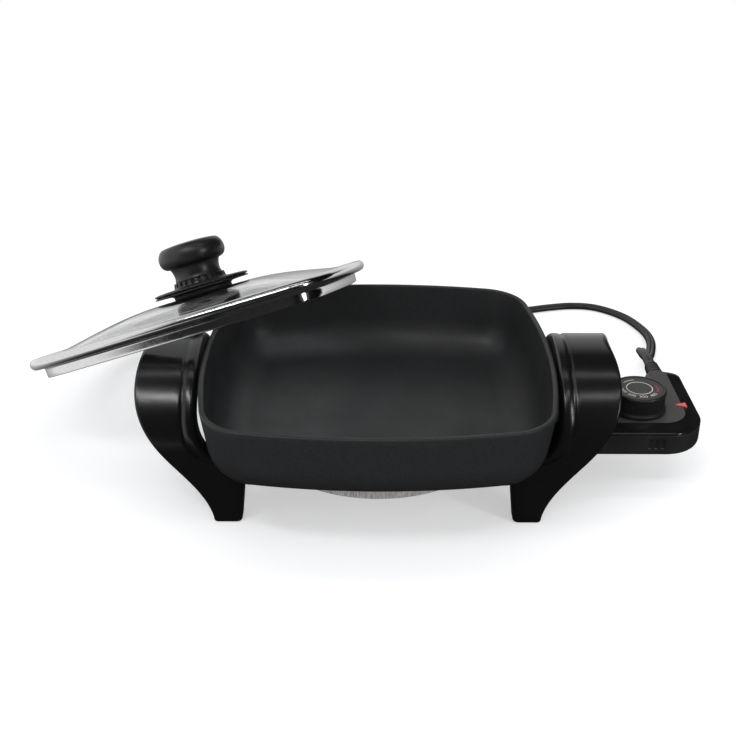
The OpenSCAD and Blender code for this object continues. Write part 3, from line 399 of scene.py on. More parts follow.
place = add_node(floor_white, "ShaderNodeTexCoord").outputs["Object"]
reach = add_node(floor_white, "ShaderNodeVectorMath", {0: place}, operation="LENGTH").outputs["Value"]
fade = combined(floor_white, "MULTIPLY", spread(floor_white, reach, 0, 1, FADE_FROM, FADE_TO), seen)
both = add_node(floor_white, "ShaderNodeMixShader", {0: fade, 1: near.outputs[0], 2: far.outputs[0]})
# mirrors see the floor as a black card in front of the object, and as white behind it and to its left
side = add_node(floor_white, "ShaderNodeSeparateXYZ", {0: place}).outputs
behind = spread(floor_white, side["Y"], BLACK_CARD, 0.80, 0.20, 0.60)
left = spread(floor_white, side["X"], BLACK_CARD, 1.0, -0.20, -0.42)
cards = combined(floor_white, "MAXIMUM", behind, left)
card = add_node(floor_white, "ShaderNodeEmission", {"Strength": cards})
shown = add_node(floor_white, "ShaderNodeMixShader",
                 {0: ray["Is Glossy Ray"], 1: both.outputs[0], 2: card.outputs[0]})
floor_white.node_tree.links.new(shown.outputs[0], floor_white.node_tree.nodes["Material Output"].inputs[0])
floor.data.materials.append(floor_white)

world = bpy.data.worlds.new("studio")
bpy.context.scene.world = world
world.use_nodes = True
sky = world.node_tree.nodes["Background"]
sky.inputs["Color"].default_value = (1, 1, 1, 1)
ray = add_node(world, "ShaderNodeLightPath").outputs
ray_way = add_node(world, "ShaderNodeTexCoord").outputs["Generated"]
way = add_node(world, "ShaderNodeSeparateXYZ", {0: ray_way}).outputs
# mirrors see a white card behind, which stops short on the right, and another on the left
behind = spread(world, way["Y"], 0.02, 0.75, 0.56, 0.78)
shorter = spread(world, way["X"], 1, 0.02, 0.27, 0.42)
behind = combined(world, "MULTIPLY", behind, shorter)
left = spread(world, way["X"], 0.0, 0.95, -0.44, -0.60)
cards = combined(world, "MAXIMUM", behind, left)
soft = add_node(world, "ShaderNodeMix", {0: ray["Is Glossy Ray"], 2: STUDIO_LIGHT, 3: cards}).outputs[0]
white = combined(world, "MAXIMUM", ray["Is Camera Ray"], ray["Is Transmission Ray"])
world.node_tree.links.new(combined(world, "MAXIMUM", soft, white), sky.inputs["Strength"])

# each lamp: place, aim, width, height, power in watts
LAMPS = {
    "front_strip": ((-0.5, -0.85, 1.45), (-0.1, -0.05, 0.08), 0.9, 0.15, 6.5),
    "front_right_strip": ((0.5, -0.80, 1.48), (0.1, -0.05, 0.08), 0.9, 0.10, 1.6),
    "top_strip": ((0, -0.02, 1.5), (0, -0.05, 0.08), 1.6, 0.07, 1.5),
    "right_strip": ((1.0, -0.75, 0.65), (0.19, -0.02, 0.04), 0.12, 0.5, 3.0),
}
for lamp_name, (spot, aim, width, height, power) in LAMPS.items():
    light = bpy.data.lights.new(lamp_name, "AREA")
    light.shape = "RECTANGLE"
    light.size, light.size_y, light.energy = width, height, power
    aimed(lamp_name, light, spot, aim)


# ---- Pan ----
# Die-cast aluminium, square with bowed sides, its wall leaning out to a narrow round rim. The coating
# is a satin charcoal, a little speckled. Four bosses underneath take the handle screws.
PAN_HALF = 0.106
PAN_SIDE_R = 0.400
PAN_CORNER_R = 0.031
PAN_WALL = 0.003
PAN_LEAN = math.radians(8)
PAN_BEND_R = 0.026
RIM_ROUND = 0.0011
FLOOR_Z = 0.042
RIM_Z = 0.088
EAR_AT = (0.0715, 0.052)
EAR_TOP = 0.040
BOSS_R = 0.0078
BOSS_TOP = FLOOR_Z + 0.0012


def bowed_square(half, side_r, corner_r, inset):
    """A square whose sides are arcs of side_r and whose corners are arcs of corner_r, tangent to each
    other. An inset keeps the centres and shortens the radii."""
    s = half - side_r
    k = (2 * s + math.sqrt(4 * s * s - 8 * (s * s - (side_r - corner_r) ** 2))) / 4
    t = math.atan2(k, k - s)
    a = np.linspace(-t, t, 40, endpoint=False)
    b = np.linspace(t, np.pi / 2 - t, 20, endpoint=False)
    side = np.stack([s + (side_r - inset) * np.cos(a), (side_r - inset) * np.sin(a)], 1)
    corner = np.stack([k + (corner_r - inset) * np.cos(b), k + (corner_r - inset) * np.sin(b)], 1)
    quarter = np.vstack([side, corner])
    turns = [np.array([[math.cos(q), math.sin(q)], [-math.sin(q), math.cos(q)]])
             for q in np.arange(4) * np.pi / 2]
    return np.vstack([quarter @ turn for turn in turns])


def arc(cx, cz, r, start, end, steps, height=None):
    """(x, z) points of an arc, its angles in degrees; of an ellipse, where its half height isn't r."""
    a = np.radians(np.linspace(start, end, steps))
    return np.stack([cx + r * np.cos(a), cz + (height or r) * np.sin(a)], 1)


def pan_bend(inward):
    """(inset, height) down the wall's lower bend, from its start under the wall to the flat floor."""
    a = np.linspace(math.pi / 2 - PAN_LEAN, 0, 22)
    r = PAN_BEND_R - inward
    bend_top = FLOOR_Z + PAN_BEND_R * (1 - math.sin(PAN_LEAN))
    start = PAN_BEND_R * math.cos(PAN_LEAN) + (RIM_Z - bend_top) * math.tan(PAN_LEAN)
    return np.stack([start - r * np.sin(a), FLOOR_Z + PAN_BEND_R - r * np.cos(a)], 1)


def straight(a, b, steps):
    """Points between two profile points, ends left out."""
    t = np.linspace(0, 1, steps + 2)[1:-1, None]
    return (1 - t) * np.array(a) + t * np.array(b)


wall_in = PAN_WALL / math.cos(PAN_LEAN)
rim_out = arc(RIM_ROUND, RIM_Z - RIM_ROUND, RIM_ROUND, 172, 90, 7)
rim_in = arc(wall_in - RIM_ROUND + 0.0002, RIM_Z - RIM_ROUND, RIM_ROUND, 90, 8, 7)
outer, inner = pan_bend(0)[::-1], pan_bend(PAN_WALL)
pan_section = np.vstack([outer, straight(outer[-1], rim_out[0], 6), rim_out, rim_in,
                         straight(rim_in[-1], inner[0], 6), inner])
pan_rings = [level(bowed_square(PAN_HALF, PAN_SIDE_R, PAN_CORNER_R, inset), z) for inset, z in pan_section]
# the floor's two faces each close on a smaller copy of their last ring
shrink = np.array([0.85, 0.85, 1])
pan_skin = loft([pan_rings[0] * shrink] + pan_rings + [pan_rings[-1] * shrink])
boss = revolved([(0.0, EAR_TOP), (BOSS_R - 0.0010, EAR_TOP), (BOSS_R - 0.0003, EAR_TOP + 0.0006),
                 (BOSS_R, BOSS_TOP), (0.0, BOSS_TOP)], 64)
pan_parts = [pan_skin]
pan_parts += [placed(boss, [sx * EAR_AT[0], sy * EAR_AT[1], 0]) for sx in (-1, 1) for sy in (-1, 1)]
pan_coat = new_material("pan_coat", (0.026, 0.027, 0.029), 0.46, Specular_IOR_Level=0.35)
speckle = object_noise(pan_coat, 0.0007, 4)
tinted(pan_coat, spread(pan_coat, speckle, 0, 1, 0.35, 0.75), (0.016, 0.017, 0.018), (0.032, 0.033, 0.035))
feed(pan_coat, "Roughness", spread(pan_coat, object_noise(pan_coat, 0.03), 0.40, 0.52))
bumped(pan_coat, speckle, 0.00003)
pan = piece("pan", pan_parts, pan_coat, "skillet", "pan_body")


# ---- Heating base and terminals ----
# A turned aluminium disc cast round the heating element, with a flat where the two terminal pins and
# the temperature probe go in, and a black sheet-steel guard round them.
base_metal = new_material("base_metal", (0.6, 0.58, 0.56), 0.45, 0.35)
streaks = spread(base_metal, object_noise(base_metal, 0.0010, 3, (1, 1, 0.06)), 0, 1, 0.35, 0.65)
tinted(base_metal, streaks, (0.50, 0.48, 0.465), (0.86, 0.83, 0.81))
feed(base_metal, "Roughness", spread(base_metal, streaks, 0.38, 0.52, 0, 1))
bumped(base_metal, streaks, 0.00003)
sheath = polished("sheath", (0.22, 0.21, 0.21), 0.5)
ceramic = plastic("ceramic", (0.82, 0.80, 0.74), 0.3, 0.0008, 0.00001)
guard_black = plastic("guard_black", (0.03, 0.03, 0.032), 0.45)
zinc = polished("zinc", (0.66, 0.66, 0.67), 0.28)


def dress(material, *nodes):
    """Gives CAD pieces their finish, in place of the plain one."""
    for node in nodes:
        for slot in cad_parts[node].material_slots:
            slot.link = "OBJECT"
            slot.material = material


dress(base_metal, "heating_base")
dress(sheath, "heating_element")
dress(ceramic, "terminal_bushings")
dress(guard_black, "terminal_guard")


# ---- Handles ----
# Each is one black moulding: an arch that the hand takes, two legs that end as the feet, a bead and a
# groove along the edge beside the pan, and two ears screwed to the bosses under it.
ARCH_R = 0.055
ARCH_Z = 0.040
BAND_T = 0.0115
GRIP_IN = 0.1066
GRIP_OUT = 0.1428
FOOT_OUT = 0.098
FOOT_IN = 0.0815
LEG_IN = 0.079
BEAD_W = 0.0075
BEAD_R = 0.0030
GROOVE_W = 0.0024
GROOVE_D = 0.0009
BEAD_FADE = (0.036, 0.050)
EDGE_R = 0.0018
FOOT_ROUND = 0.0016
EAR_R = 0.0116
EAR_T = 0.008
EAR_END = 0.0865
EAR_SIDE = 0.0548


def bezier(a, b, c, d, steps=60):
    """The cubic curve from a to d that leaves towards b and arrives from c."""
    t = np.linspace(0, 1, steps)[:, None]
    a, b, c, d = (np.array(p, float) for p in (a, b, c, d))
    return (1 - t) ** 3 * a + 3 * (1 - t) ** 2 * t * b + 3 * (1 - t) * t ** 2 * c + t ** 3 * d


# (X, height) of the band's outer edge and of its edge beside the pan, from the foot up
arch_top = ARCH_Z + ARCH_R
outer_side = np.vstack([
    bezier((GRIP_OUT - 0.007, arch_top + 0.0005), (GRIP_OUT - 0.002, arch_top), (GRIP_OUT, arch_top - 0.004),
           (GRIP_OUT, RIM_Z - 0.005)),
    bezier((GRIP_OUT, RIM_Z - 0.005), (GRIP_OUT, RIM_Z - 0.039), (FOOT_OUT + 0.003, 0.030),
           (FOOT_OUT, 0))])[::-1]
inner_side = np.vstack([
    bezier((GRIP_IN, RIM_Z - 0.020), (GRIP_IN, EAR_TOP + 0.011), (PAN_HALF - 0.009, EAR_TOP + 0.0004),
           (FOOT_IN + 0.0005, EAR_TOP)), [[LEG_IN, EAR_TOP - 0.0006], [LEG_IN, 0.024], [FOOT_IN, 0]]])[::-1]


def band_section():
    """The band's section as share f of its width, shift dx from there, depth d under its outer face,
    and crease c, a depth that fades out above the foot: bead, groove, main face, outer edge, then the
    inner face back to the bead."""
    f, dx, d, c = [], [], [], []

    def add(share, shift, depth, crease=0.0):
        """The section's next points."""
        f.append(np.broadcast_to(share, np.shape(depth)))
        dx.append(np.broadcast_to(shift, np.shape(depth)))
        d.append(np.asarray(depth, float))
        c.append(np.broadcast_to(crease, np.shape(depth)))

    add(0.0, *arc(BEAD_R, BEAD_R, BEAD_R, -180, -90, 9).T)
    x = np.linspace(0, 1, 13)
    fall = BEAD_W - BEAD_R
    add(0.0, BEAD_R + fall * x[1:], np.zeros(12), GROOVE_D * x[1:] ** 2.4)
    add(0.0, BEAD_W + GROOVE_W * x[1:9] * 1.5, np.zeros(8), GROOVE_D * (1 - smooth_step(x[1:9] * 1.5)))
    g = np.linspace(0, 1, 16)[1:]
    add(g, (BEAD_W + GROOVE_W) * (1 - g) - EDGE_R * g, np.zeros(15))
    add(1.0, *arc(-EDGE_R, EDGE_R, EDGE_R, -90, 0, 7)[1:].T)
    add(1.0, *arc(-EDGE_R, BAND_T - EDGE_R, EDGE_R, 0, 90, 7).T)
    g = np.linspace(1, 0, 14)[1:]
    add(g, EDGE_R - 2 * EDGE_R * g, np.full(13, BAND_T))
    add(0.0, *arc(EDGE_R, BAND_T - EDGE_R, EDGE_R, 90, 180, 7)[1:].T)
    return np.concatenate(f), np.concatenate(dx), np.concatenate(d), np.concatenate(c)


def edge_round(r, z, steps, top=False):
    """(inset, height) rings round an edge along a quarter circle: from the level face at z up to the
    upright side or, at the top, from the side up to the face."""
    a = np.linspace(0, np.pi / 2, steps)
    by_sine, by_cosine = r * (1 - np.sin(a)), r * (1 - np.cos(a))
    return np.stack([by_cosine, z - by_sine] if top else [by_sine, z + by_cosine], 1)


def band():
    """The band as rings of its section. It rises up one leg, goes round the arch and down the other
    leg; every point's X comes from the side outline at its own height."""
    f, dx, d, c = band_section()
    foot_inset, foot_z = edge_round(FOOT_ROUND, 0, 6).T
    leg_z = np.concatenate([foot_z, np.linspace(0.002, 0.036, 24)[1:], np.linspace(0.0365, ARCH_Z, 8)])
    leg_inset = np.concatenate([foot_inset, np.zeros(31)])
    arch_a = np.concatenate([np.radians(np.linspace(0, 12, 14)[1:]), np.radians(np.linspace(12, 90, 60)[1:])])
    half_z = np.concatenate([leg_z, np.full(len(arch_a), ARCH_Z)])
    half_a = np.concatenate([np.zeros(len(leg_z)), arch_a])
    half_inset = np.concatenate([leg_inset, np.zeros(len(arch_a))])
    base_z = np.concatenate([half_z, half_z[-2::-1]])[:, None]
    a = np.concatenate([half_a, math.pi - half_a[-2::-1]])[:, None]
    inset = np.concatenate([half_inset, half_inset[-2::-1]])[:, None]
    crease = c[None] * smooth_step((base_z - BEAD_FADE[0]) / (BEAD_FADE[1] - BEAD_FADE[0]))
    crease = np.where(a > 0, c[None], crease)
    depth = BAND_T / 2 + (d[None] + crease - BAND_T / 2) * (1 - 2 * inset / BAND_T)
    r = ARCH_R - depth
    y, z = -r * np.cos(a), base_z + r * np.sin(a) * (base_z >= ARCH_Z)
    x_in = np.interp(z, inner_side[:, 1], inner_side[:, 0])
    x_out = np.interp(z, outer_side[:, 1], outer_side[:, 0])
    x = x_in + f[None] * (x_out - x_in) + dx[None]
    middle = (x_in + x_out) / 2
    x = middle + (x - middle) * (1 - 2 * inset / (x_out - x_in))
    return np.stack([x, y, z], -1)


def slab(corners, z0, z1, low_round, high_round, steps=8, corner_steps=8):
    """A flat piece with both of its edges rounded: rings of the outline, drawn in along a quarter
    circle at the bottom and at the top."""
    section = np.vstack([edge_round(low_round, z0, steps), edge_round(high_round, z1, steps, True)])
    return loft([level(rounded(corners, i, corner_steps), z) for i, z in section])


EAR_CORNERS = [(EAR_AT[0] - EAR_R, EAR_AT[1] - EAR_R, EAR_R - 0.0002), (EAR_END, EAR_AT[1] - EAR_R, 0.001),
               (EAR_END, EAR_SIDE, 0.001), (FOOT_IN, EAR_SIDE, 0.002), (LEG_IN, EAR_AT[1] + EAR_R, 0.006),
               (EAR_AT[0] - EAR_R, EAR_AT[1] + EAR_R, EAR_R - 0.0002)]
handle_black = new_material("handle_black", (0.006, 0.006, 0.0065), 0.25)
feed(handle_black, "Roughness", spread(handle_black, object_noise(handle_black, 0.03), 0.20, 0.24))
tinted(handle_black, object_noise(handle_black, 0.02), (0.004, 0.004, 0.0043), (0.008, 0.0078, 0.0078))
bumped(handle_black, object_noise(handle_black, 0.0005, 2), 0.000018)
grip = loft(band())
ear = slab(EAR_CORNERS, EAR_TOP - EAR_T, EAR_TOP, 0.0012, 0.0006)
for side_name, sx in (("left", -1), ("right", 1)):
    parts = [placed(grip, 0, np.diag([sx, 1, 1]))] + [placed(ear, 0, np.diag([sx, sy, 1])) for sy in (-1, 1)]
    handle = piece(f"{side_name}_grip", parts, handle_black, "skillet", f"{side_name}_handle")

dress(zinc, "handle_screws", "screw_washers")


# ---- Lid glass ----
# Tempered glass, level round its hole and at its edge and domed between, clear with a faint green
# tone. The lid's own frame has Z=0 at the middle of its steel bead.
LID_HALF = 0.107
LID_SIDE_R = 0.401
LID_CORNER_R = 0.032
GLASS_IN = 0.0032
GLASS_T = 0.004
DOME_H = 0.011
HOLE_R = 0.0034
FLAT_SHARE = 0.22
RIM_SHARE = 1 - (0.008 + 0.0009 - GLASS_IN + 0.0006) / (LID_HALF - GLASS_IN)
LID_TILT = math.radians(18)
LID_PITCH = math.radians(20)
LID_X, LID_Y = -0.114, 0.082


def lid_turned(points):
    """Points of the lid's own frame, tipped back and then to the left."""
    x, y, z = points[..., 0], points[..., 1], points[..., 2]
    cp, sp, ct, st = math.cos(LID_PITCH), math.sin(LID_PITCH), math.cos(LID_TILT), math.sin(LID_TILT)
    y, z = y * cp + z * sp, -y * sp + z * cp
    return np.stack([x * ct - z * st, y, x * st + z * ct], -1)


def lid_outline(inset):
    """The lid's outline, drawn in evenly."""
    return bowed_square(LID_HALF, LID_SIDE_R, LID_CORNER_R, inset)


# the lid's height: the highest point of its tipped rim is the top of the CAD rim
rim_rings = ((0.0, 0.0), (0.0024, 0.0035), (0.0083, -0.010), (0.0092, -0.010))
tipped_rim = lid_turned(np.vstack([level(lid_outline(i), z) for i, z in rim_rings]))
LID_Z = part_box("lid_rim")[1][2] - tipped_rim[:, 2].max()


def on_lid(part, rise=0.0):
    """Places (points, faces) of the lid's frame, moved up by the rise, in the row frame."""
    return lid_turned(part[0] + [0, 0, rise]) + [LID_X, LID_Y, LID_Z], part[1]


def dome_z(share):
    """The glass's upper face: its share w of the way from the level middle to the level edge gives the
    edge's height plus the rise times (1 - w^2)^1.5."""
    w = np.clip((share - FLAT_SHARE) / (RIM_SHARE - FLAT_SHARE), 0, 1)
    return GLASS_T / 2 + DOME_H * (1 - w * w) ** 1.5


# rings go from the hole (share 0) to the edge (share 1)
shares = np.concatenate([np.linspace(0, FLAT_SHARE, 4)[:-1], np.linspace(FLAT_SHARE, RIM_SHARE, 30), [1.0]])
glass_edge = lid_outline(GLASS_IN)
hole = HOLE_R * unit(glass_edge)
over = np.array([level(s * glass_edge + (1 - s) * hole, float(dome_z(s))) for s in shares])
glass_clear = new_material("glass_clear", (0.93, 0.955, 0.95), 0.015, Transmission_Weight=1.0, IOR=1.5)
feed(glass_clear, "Roughness", spread(glass_clear, object_noise(glass_clear, 0.015), 0.008, 0.03))
lid_glass = piece("glass", [on_lid(loft(np.concatenate([over[::-1], over - [0, 0, GLASS_T]]), True))],
                  glass_clear, "lid", "lid_glass")


# ---- Lid rim ----
# A rolled and polished steel channel pressed round the glass's edge, with a skirt that drops inside
# the pan. Its roll shows as a round bead.
BEAD_HALF = 0.0035
SKIRT_IN = 0.008
SKIRT_DROP = 0.010
STEEL_T = 0.0009
SLOT_H = GLASS_T / 2 + 0.0001

rim_section = np.vstack([
    [[SKIRT_IN - 0.0015, SLOT_H], [SKIRT_IN - 0.0012, SLOT_H + 0.0006]],
    arc(SKIRT_IN - 0.0022, SLOT_H + 0.0006, 0.001, 0, 90, 5, BEAD_HALF - SLOT_H - 0.0006)[1:],
    arc(BEAD_HALF, 0, BEAD_HALF, 90, 270, 25),
    straight((BEAD_HALF, -BEAD_HALF), (SKIRT_IN - 0.0012, -BEAD_HALF), 2),
    arc(SKIRT_IN - 0.0012, -BEAD_HALF - 0.0012, 0.0012, 90, 0, 5),
    straight((SKIRT_IN, -0.0047), (SKIRT_IN + 0.0002, -SKIRT_DROP + 0.001), 5),
    arc(SKIRT_IN + 0.00075, -SKIRT_DROP + 0.00045, 0.00045, 180, 360, 9),
    straight((SKIRT_IN + 0.0012, -SKIRT_DROP + 0.001), (SKIRT_IN + STEEL_T, -SLOT_H - 0.001), 4),
    [[SKIRT_IN + STEEL_T, -SLOT_H], [GLASS_IN - 0.0001, -SLOT_H], [GLASS_IN - 0.0001, SLOT_H]]])
steel = polished("steel", (0.74, 0.74, 0.745), 0.13, 0.0015, (1, 1, 1), 0.05, 0.000002)
rim = piece("steel_rim", [on_lid(loft([level(lid_outline(i), z) for i, z in rim_section], True))], steel,
            "lid", "lid_rim", sharp=40)


# ---- Lid knob ----
# A black moulded knob on a two-plate saucer whose lugs leave gaps for steam, over a soft gasket. One
# screw from under the glass pulls them together.
KNOB_R = 0.0228
NECK_R = 0.0145
KNOB_H = 0.025
SAUCER_R = 0.0325
SAUCER_H = 0.009
COLLAR_R = NECK_R + 0.0030
VENT_SLOTS = 24
VENT_DEPTH = 0.0014
GASKET_R = 0.020
GASKET_T = 0.002
GASKET_Z = GLASS_T / 2 + DOME_H
SAUCER_Z = GASKET_Z + GASKET_T
KNOB_Z = SAUCER_Z + SAUCER_H


def lugs(count, inner_r, outer_r, width, z0, z1):
    """Small upright blocks between two plates, spaced evenly round the middle."""
    block = slab(box_corners(inner_r, outer_r, width / 2, 0.0004), z0, z1, 0.0001, 0.0001, 2, 3)
    return [placed(block, 0, [[math.cos(a), math.sin(a), 0], [-math.sin(a), math.cos(a), 0], [0, 0, 1]])
            for a in np.arange(count) * 2 * np.pi / count]


def slotted_collar(a, r, z):
    """Upright vent slots round the collar: where one is, the radius loses its depth."""
    window = smooth_step((np.cos(VENT_SLOTS * a) - 0.1) / 0.4)
    zone = smooth_step((z - 0.0058) / 0.0004) * smooth_step((SAUCER_H - 0.0005 - z) / 0.0004) * (r > NECK_R)
    return r - VENT_DEPTH * window * zone


gasket_black = plastic("gasket_black", (0.02, 0.02, 0.021), 0.6)
gasket_ring = revolved(np.vstack([
    [[HOLE_R, 0], [GASKET_R - 0.0006, 0]], arc(GASKET_R - 0.0006, 0.0006, 0.0006, -90, 0, 5),
    [[GASKET_R, GASKET_T], [HOLE_R, GASKET_T], [HOLE_R, 0]]]))
gasket = piece("gasket", [on_lid(gasket_ring, GASKET_Z)], gasket_black, "lid", "knob_gasket")

knob_black = plastic("knob_black", (0.014, 0.0125, 0.012), 0.34, 0.0005, 0.000015, 0.04)
lower_plate = revolved(np.vstack([
    [[HOLE_R, 0.0], [GASKET_R, 0.0], [GASKET_R + 0.0015, 0.0009]],
    [[SAUCER_R - 0.0030, 0.0014]], arc(SAUCER_R - 0.0006, 0.0018, 0.0005, -90, 90, 7),
    [[SAUCER_R - 0.0030, 0.0024], [GASKET_R, 0.0020], [HOLE_R, 0.0020], [HOLE_R, 0.0]]]))
upper_plate = revolved(np.vstack([
    [[HOLE_R, 0.0042], [SAUCER_R - 0.0045, 0.0036], [SAUCER_R - 0.0012, 0.0030]],
    arc(SAUCER_R - 0.0008, 0.0036, 0.0007, -90, 60, 7),
    [[SAUCER_R - 0.003, 0.0047], [COLLAR_R + 0.0012, 0.0053]],
    arc(COLLAR_R + 0.0012, 0.0059, 0.0006, 270, 190, 4),
    straight((COLLAR_R + 0.0004, 0.0062), (COLLAR_R, 0.0086), 6),
    arc(COLLAR_R - 0.0006, SAUCER_H - 0.0006, 0.0006, 0, 90, 4),
    [[HOLE_R, SAUCER_H], [HOLE_R, 0.0042]]]), 288, slotted_collar)
saucer_parts = [lower_plate, upper_plate]
saucer_parts += lugs(16, SAUCER_R - 0.0045, SAUCER_R - 0.0012, 0.0028, 0.0019, 0.0036)
saucer_parts += lugs(20, GASKET_R - 0.001, GASKET_R + 0.003, 0.0022, 0.0015, 0.0041)
saucer = piece("saucer", [on_lid(p, SAUCER_Z) for p in saucer_parts], knob_black, "lid", "knob_saucer")

knob_profile = np.vstack([
    [[0.0, 0.0], [NECK_R + 0.0010, 0.0]], arc(NECK_R + 0.0010, 0.0006, 0.0006, -90, 0, 4),
    bezier((NECK_R + 0.0014, 0.0010), (NECK_R + 0.0008, KNOB_H * 0.10), (NECK_R + 0.0008, KNOB_H * 0.22),
           (NECK_R + 0.0022, KNOB_H * 0.36), 14),
    bezier((NECK_R + 0.0028, KNOB_H * 0.385), (KNOB_R + 0.0012, KNOB_H * 0.40),
           (KNOB_R + 0.0014, KNOB_H * 0.80), (KNOB_R - 0.0035, KNOB_H * 0.935), 40),
    bezier((KNOB_R - 0.0040, KNOB_H * 0.945), (KNOB_R * 0.65, KNOB_H * 0.985), (KNOB_R * 0.3, KNOB_H),
           (0, KNOB_H), 20)])
knob = piece("knob", [on_lid(revolved(knob_profile), KNOB_Z)], knob_black, "lid", "lid_knob")
dress(brass, "knob_insert")
dress(zinc, "knob_washer", "knob_screw")


# ---- Temperature control: housing ----
# Two black mouldings that meet at a seam: a satin base with a nose, and a cover whose flat top is finely
# textured and whose shoulder is left glossy. Three small screws hold them from below.
CTL_X0 = 0.099
CTL_X1 = 0.201
CTL_HALF = 0.026
CTL_BACK = 0.055
CTL_WING = 0.023
CTL_TOP = 0.048
CTL_LOW = 0.0295
SEAM_Z = 0.044
WING_X = CTL_X1 - CTL_WING
CTL_CORNERS = [(CTL_X0, -CTL_HALF, 0.005), (CTL_X1, -CTL_HALF, 0.024), (CTL_X1, CTL_BACK, 0.006),
               (WING_X, CTL_BACK, 0.006), (WING_X, CTL_HALF, 0.004), (CTL_X0, CTL_HALF, 0.005)]
SEAM_ROUND = 0.0005
SHOULDER_H = 0.0034
BOTTOM_R = 0.0040
SLOT_XS = (0.1658, 0.1698, 0.1738)
NOSE_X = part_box("control_base")[0][0]
NOSE_HALF = 0.0148
NOSE_LOW = 0.0314
NOSE_HIGH = 0.0402
SLOT_W = 0.0018
SLOT_DEPTH = 0.0009


def even_points(outline, count):
    """The closed outline with its points spread evenly along it."""
    closed = np.vstack([outline, outline[:1]])
    at = np.concatenate([[0], np.cumsum(np.linalg.norm(np.diff(closed, axis=0), axis=1))])
    s = np.linspace(0, at[-1], count, endpoint=False)
    return np.stack([np.interp(s, at, closed[:, 0]), np.interp(s, at, closed[:, 1])], 1)


def slotted(rings):
    """Presses three short upright slots into the front face: each point there moves back by the slot's
    depth times a smooth window along X and Z."""
    x, y, z = rings[..., 0], rings[..., 1], rings[..., 2]
    window = sum(smooth_step((SLOT_W / 2 - np.abs(x - s)) / 0.0005 + 0.5) for s in SLOT_XS)
    window = window * smooth_step((z - CTL_LOW - 0.005) / 0.001) * smooth_step((SEAM_Z - 0.0022 - z) / 0.001)
    front = smooth_step((-CTL_HALF * 0.75 - y) / 0.002)
    return np.stack([x, y + SLOT_DEPTH * window * front, z], -1)


base_low = edge_round(BOTTOM_R, CTL_LOW, 9)
base_wall = straight(base_low[-1], (0, SEAM_Z - SEAM_ROUND), 26)
base_section = np.vstack([base_low, base_wall, edge_round(SEAM_ROUND, SEAM_Z, 5, True)])
base_rings = np.array([level(even_points(rounded(CTL_CORNERS, i, 14), 900), z) for i, z in base_section])
housing_satin = plastic("housing_satin", (0.016, 0.016, 0.0165), 0.33, 0.0004, 0.00002, 0.04)
nose = slab(box_corners(NOSE_X, CTL_X0 + 0.006, NOSE_HALF, 0.001), NOSE_LOW, NOSE_HIGH, 0.0006, 0.0006, 4, 4)
SCREWS_AT = [(CTL_X0 + 0.008, CTL_HALF - 0.007, CTL_LOW), (CTL_X0 + 0.008, 0.007 - CTL_HALF, CTL_LOW),
             (CTL_X1 - 0.011, CTL_BACK - 0.018, CTL_LOW)]
eyelet = revolved([(0.0026, 0.0006), (0.0026, -0.0002), (0.0028, -0.0004), (0.0033, -0.0004),
                   (0.0036, 0.0001), (0.0036, 0.0006), (0.0026, 0.0006)], 48)
housing_parts = [loft(slotted(base_rings)), nose] + [placed(eyelet, at) for at in SCREWS_AT]
housing = piece("housing_base", housing_parts, housing_satin, "control", "control_base", even=True)

cover_matte = new_material("cover_matte", (0.066, 0.061, 0.058), 0.55, Specular_IOR_Level=0.3)
tinted(cover_matte, spread(cover_matte, object_noise(cover_matte, 0.0006, 3), 0, 1),
       (0.058, 0.0535, 0.051), (0.075, 0.0695, 0.066))
bumped(cover_matte, object_noise(cover_matte, 0.0005, 2), 0.00005)
cover_gloss = plastic("cover_gloss", (0.008, 0.008, 0.0085), 0.13, 0.003, 0.000006, 0.03)
# the flat of the top lies well inside the outline in front and at the end, and close to it elsewhere
TOP_IN = 0.0095
TOP_IN_BACK = 0.0022
TOP_IN_SIDE = 0.0015
top_x, top_end, top_wing = CTL_X0 + TOP_IN_SIDE, CTL_X1 - TOP_IN, WING_X + TOP_IN_SIDE
top_front, top_side, top_back = TOP_IN - CTL_HALF, CTL_HALF - TOP_IN_BACK, CTL_BACK - TOP_IN_BACK
TOP_CORNERS = [(top_x, top_front, 0.002), (top_end, top_front, 0.0155), (top_end, top_back, 0.004),
               (top_wing, top_back, 0.004), (top_wing, top_side, 0.0045), (top_x, top_side, 0.003)]
# from the outline's edge to the flat: each ring is a share of the way, at its height under the top
shoulder = bezier((0, -SHOULDER_H), (0, -0.0018), (0.42, -0.0016), (1, 0), 18)
edge, flat = rounded(CTL_CORNERS, 0, 20), rounded(TOP_CORNERS, 0, 20)
cover_rings = [level(rounded(CTL_CORNERS, i, 20), z) for i, z in edge_round(SEAM_ROUND, SEAM_Z, 5)]
cover_rings += [level(edge + (flat - edge) * share, CTL_TOP + z) for share, z in shoulder]
cover_rings += [level(rounded(TOP_CORNERS, 0.0003, 20), CTL_TOP)]
cover = piece("housing_cover", [loft(cover_rings)], cover_gloss, "control", "control_cover", even=True)
cover.data.materials.append(cover_matte)
for face in cover.data.polygons:
    if face.normal.z > 0.999 and face.center.z > CTL_TOP - 0.0001:
        face.material_index = 1
screw_head = revolved([(0, -0.0001), (0.0016, -0.0001), (0.0024, 0.0004), (0.0024, 0.0008), (0, 0.0008)], 48)
for number, at in enumerate(SCREWS_AT):
    head = piece(f"screw_head_{number}", [placed(screw_head, at)], zinc, "control")
dress(zinc, "control_screws")
dress(brass, "contact_sockets", "thermostat_blade", "contact_leaf", "dial_bush")
dress(polished("probe_steel", (0.6, 0.6, 0.61), 0.24), "probe_rod", "dial_shaft")


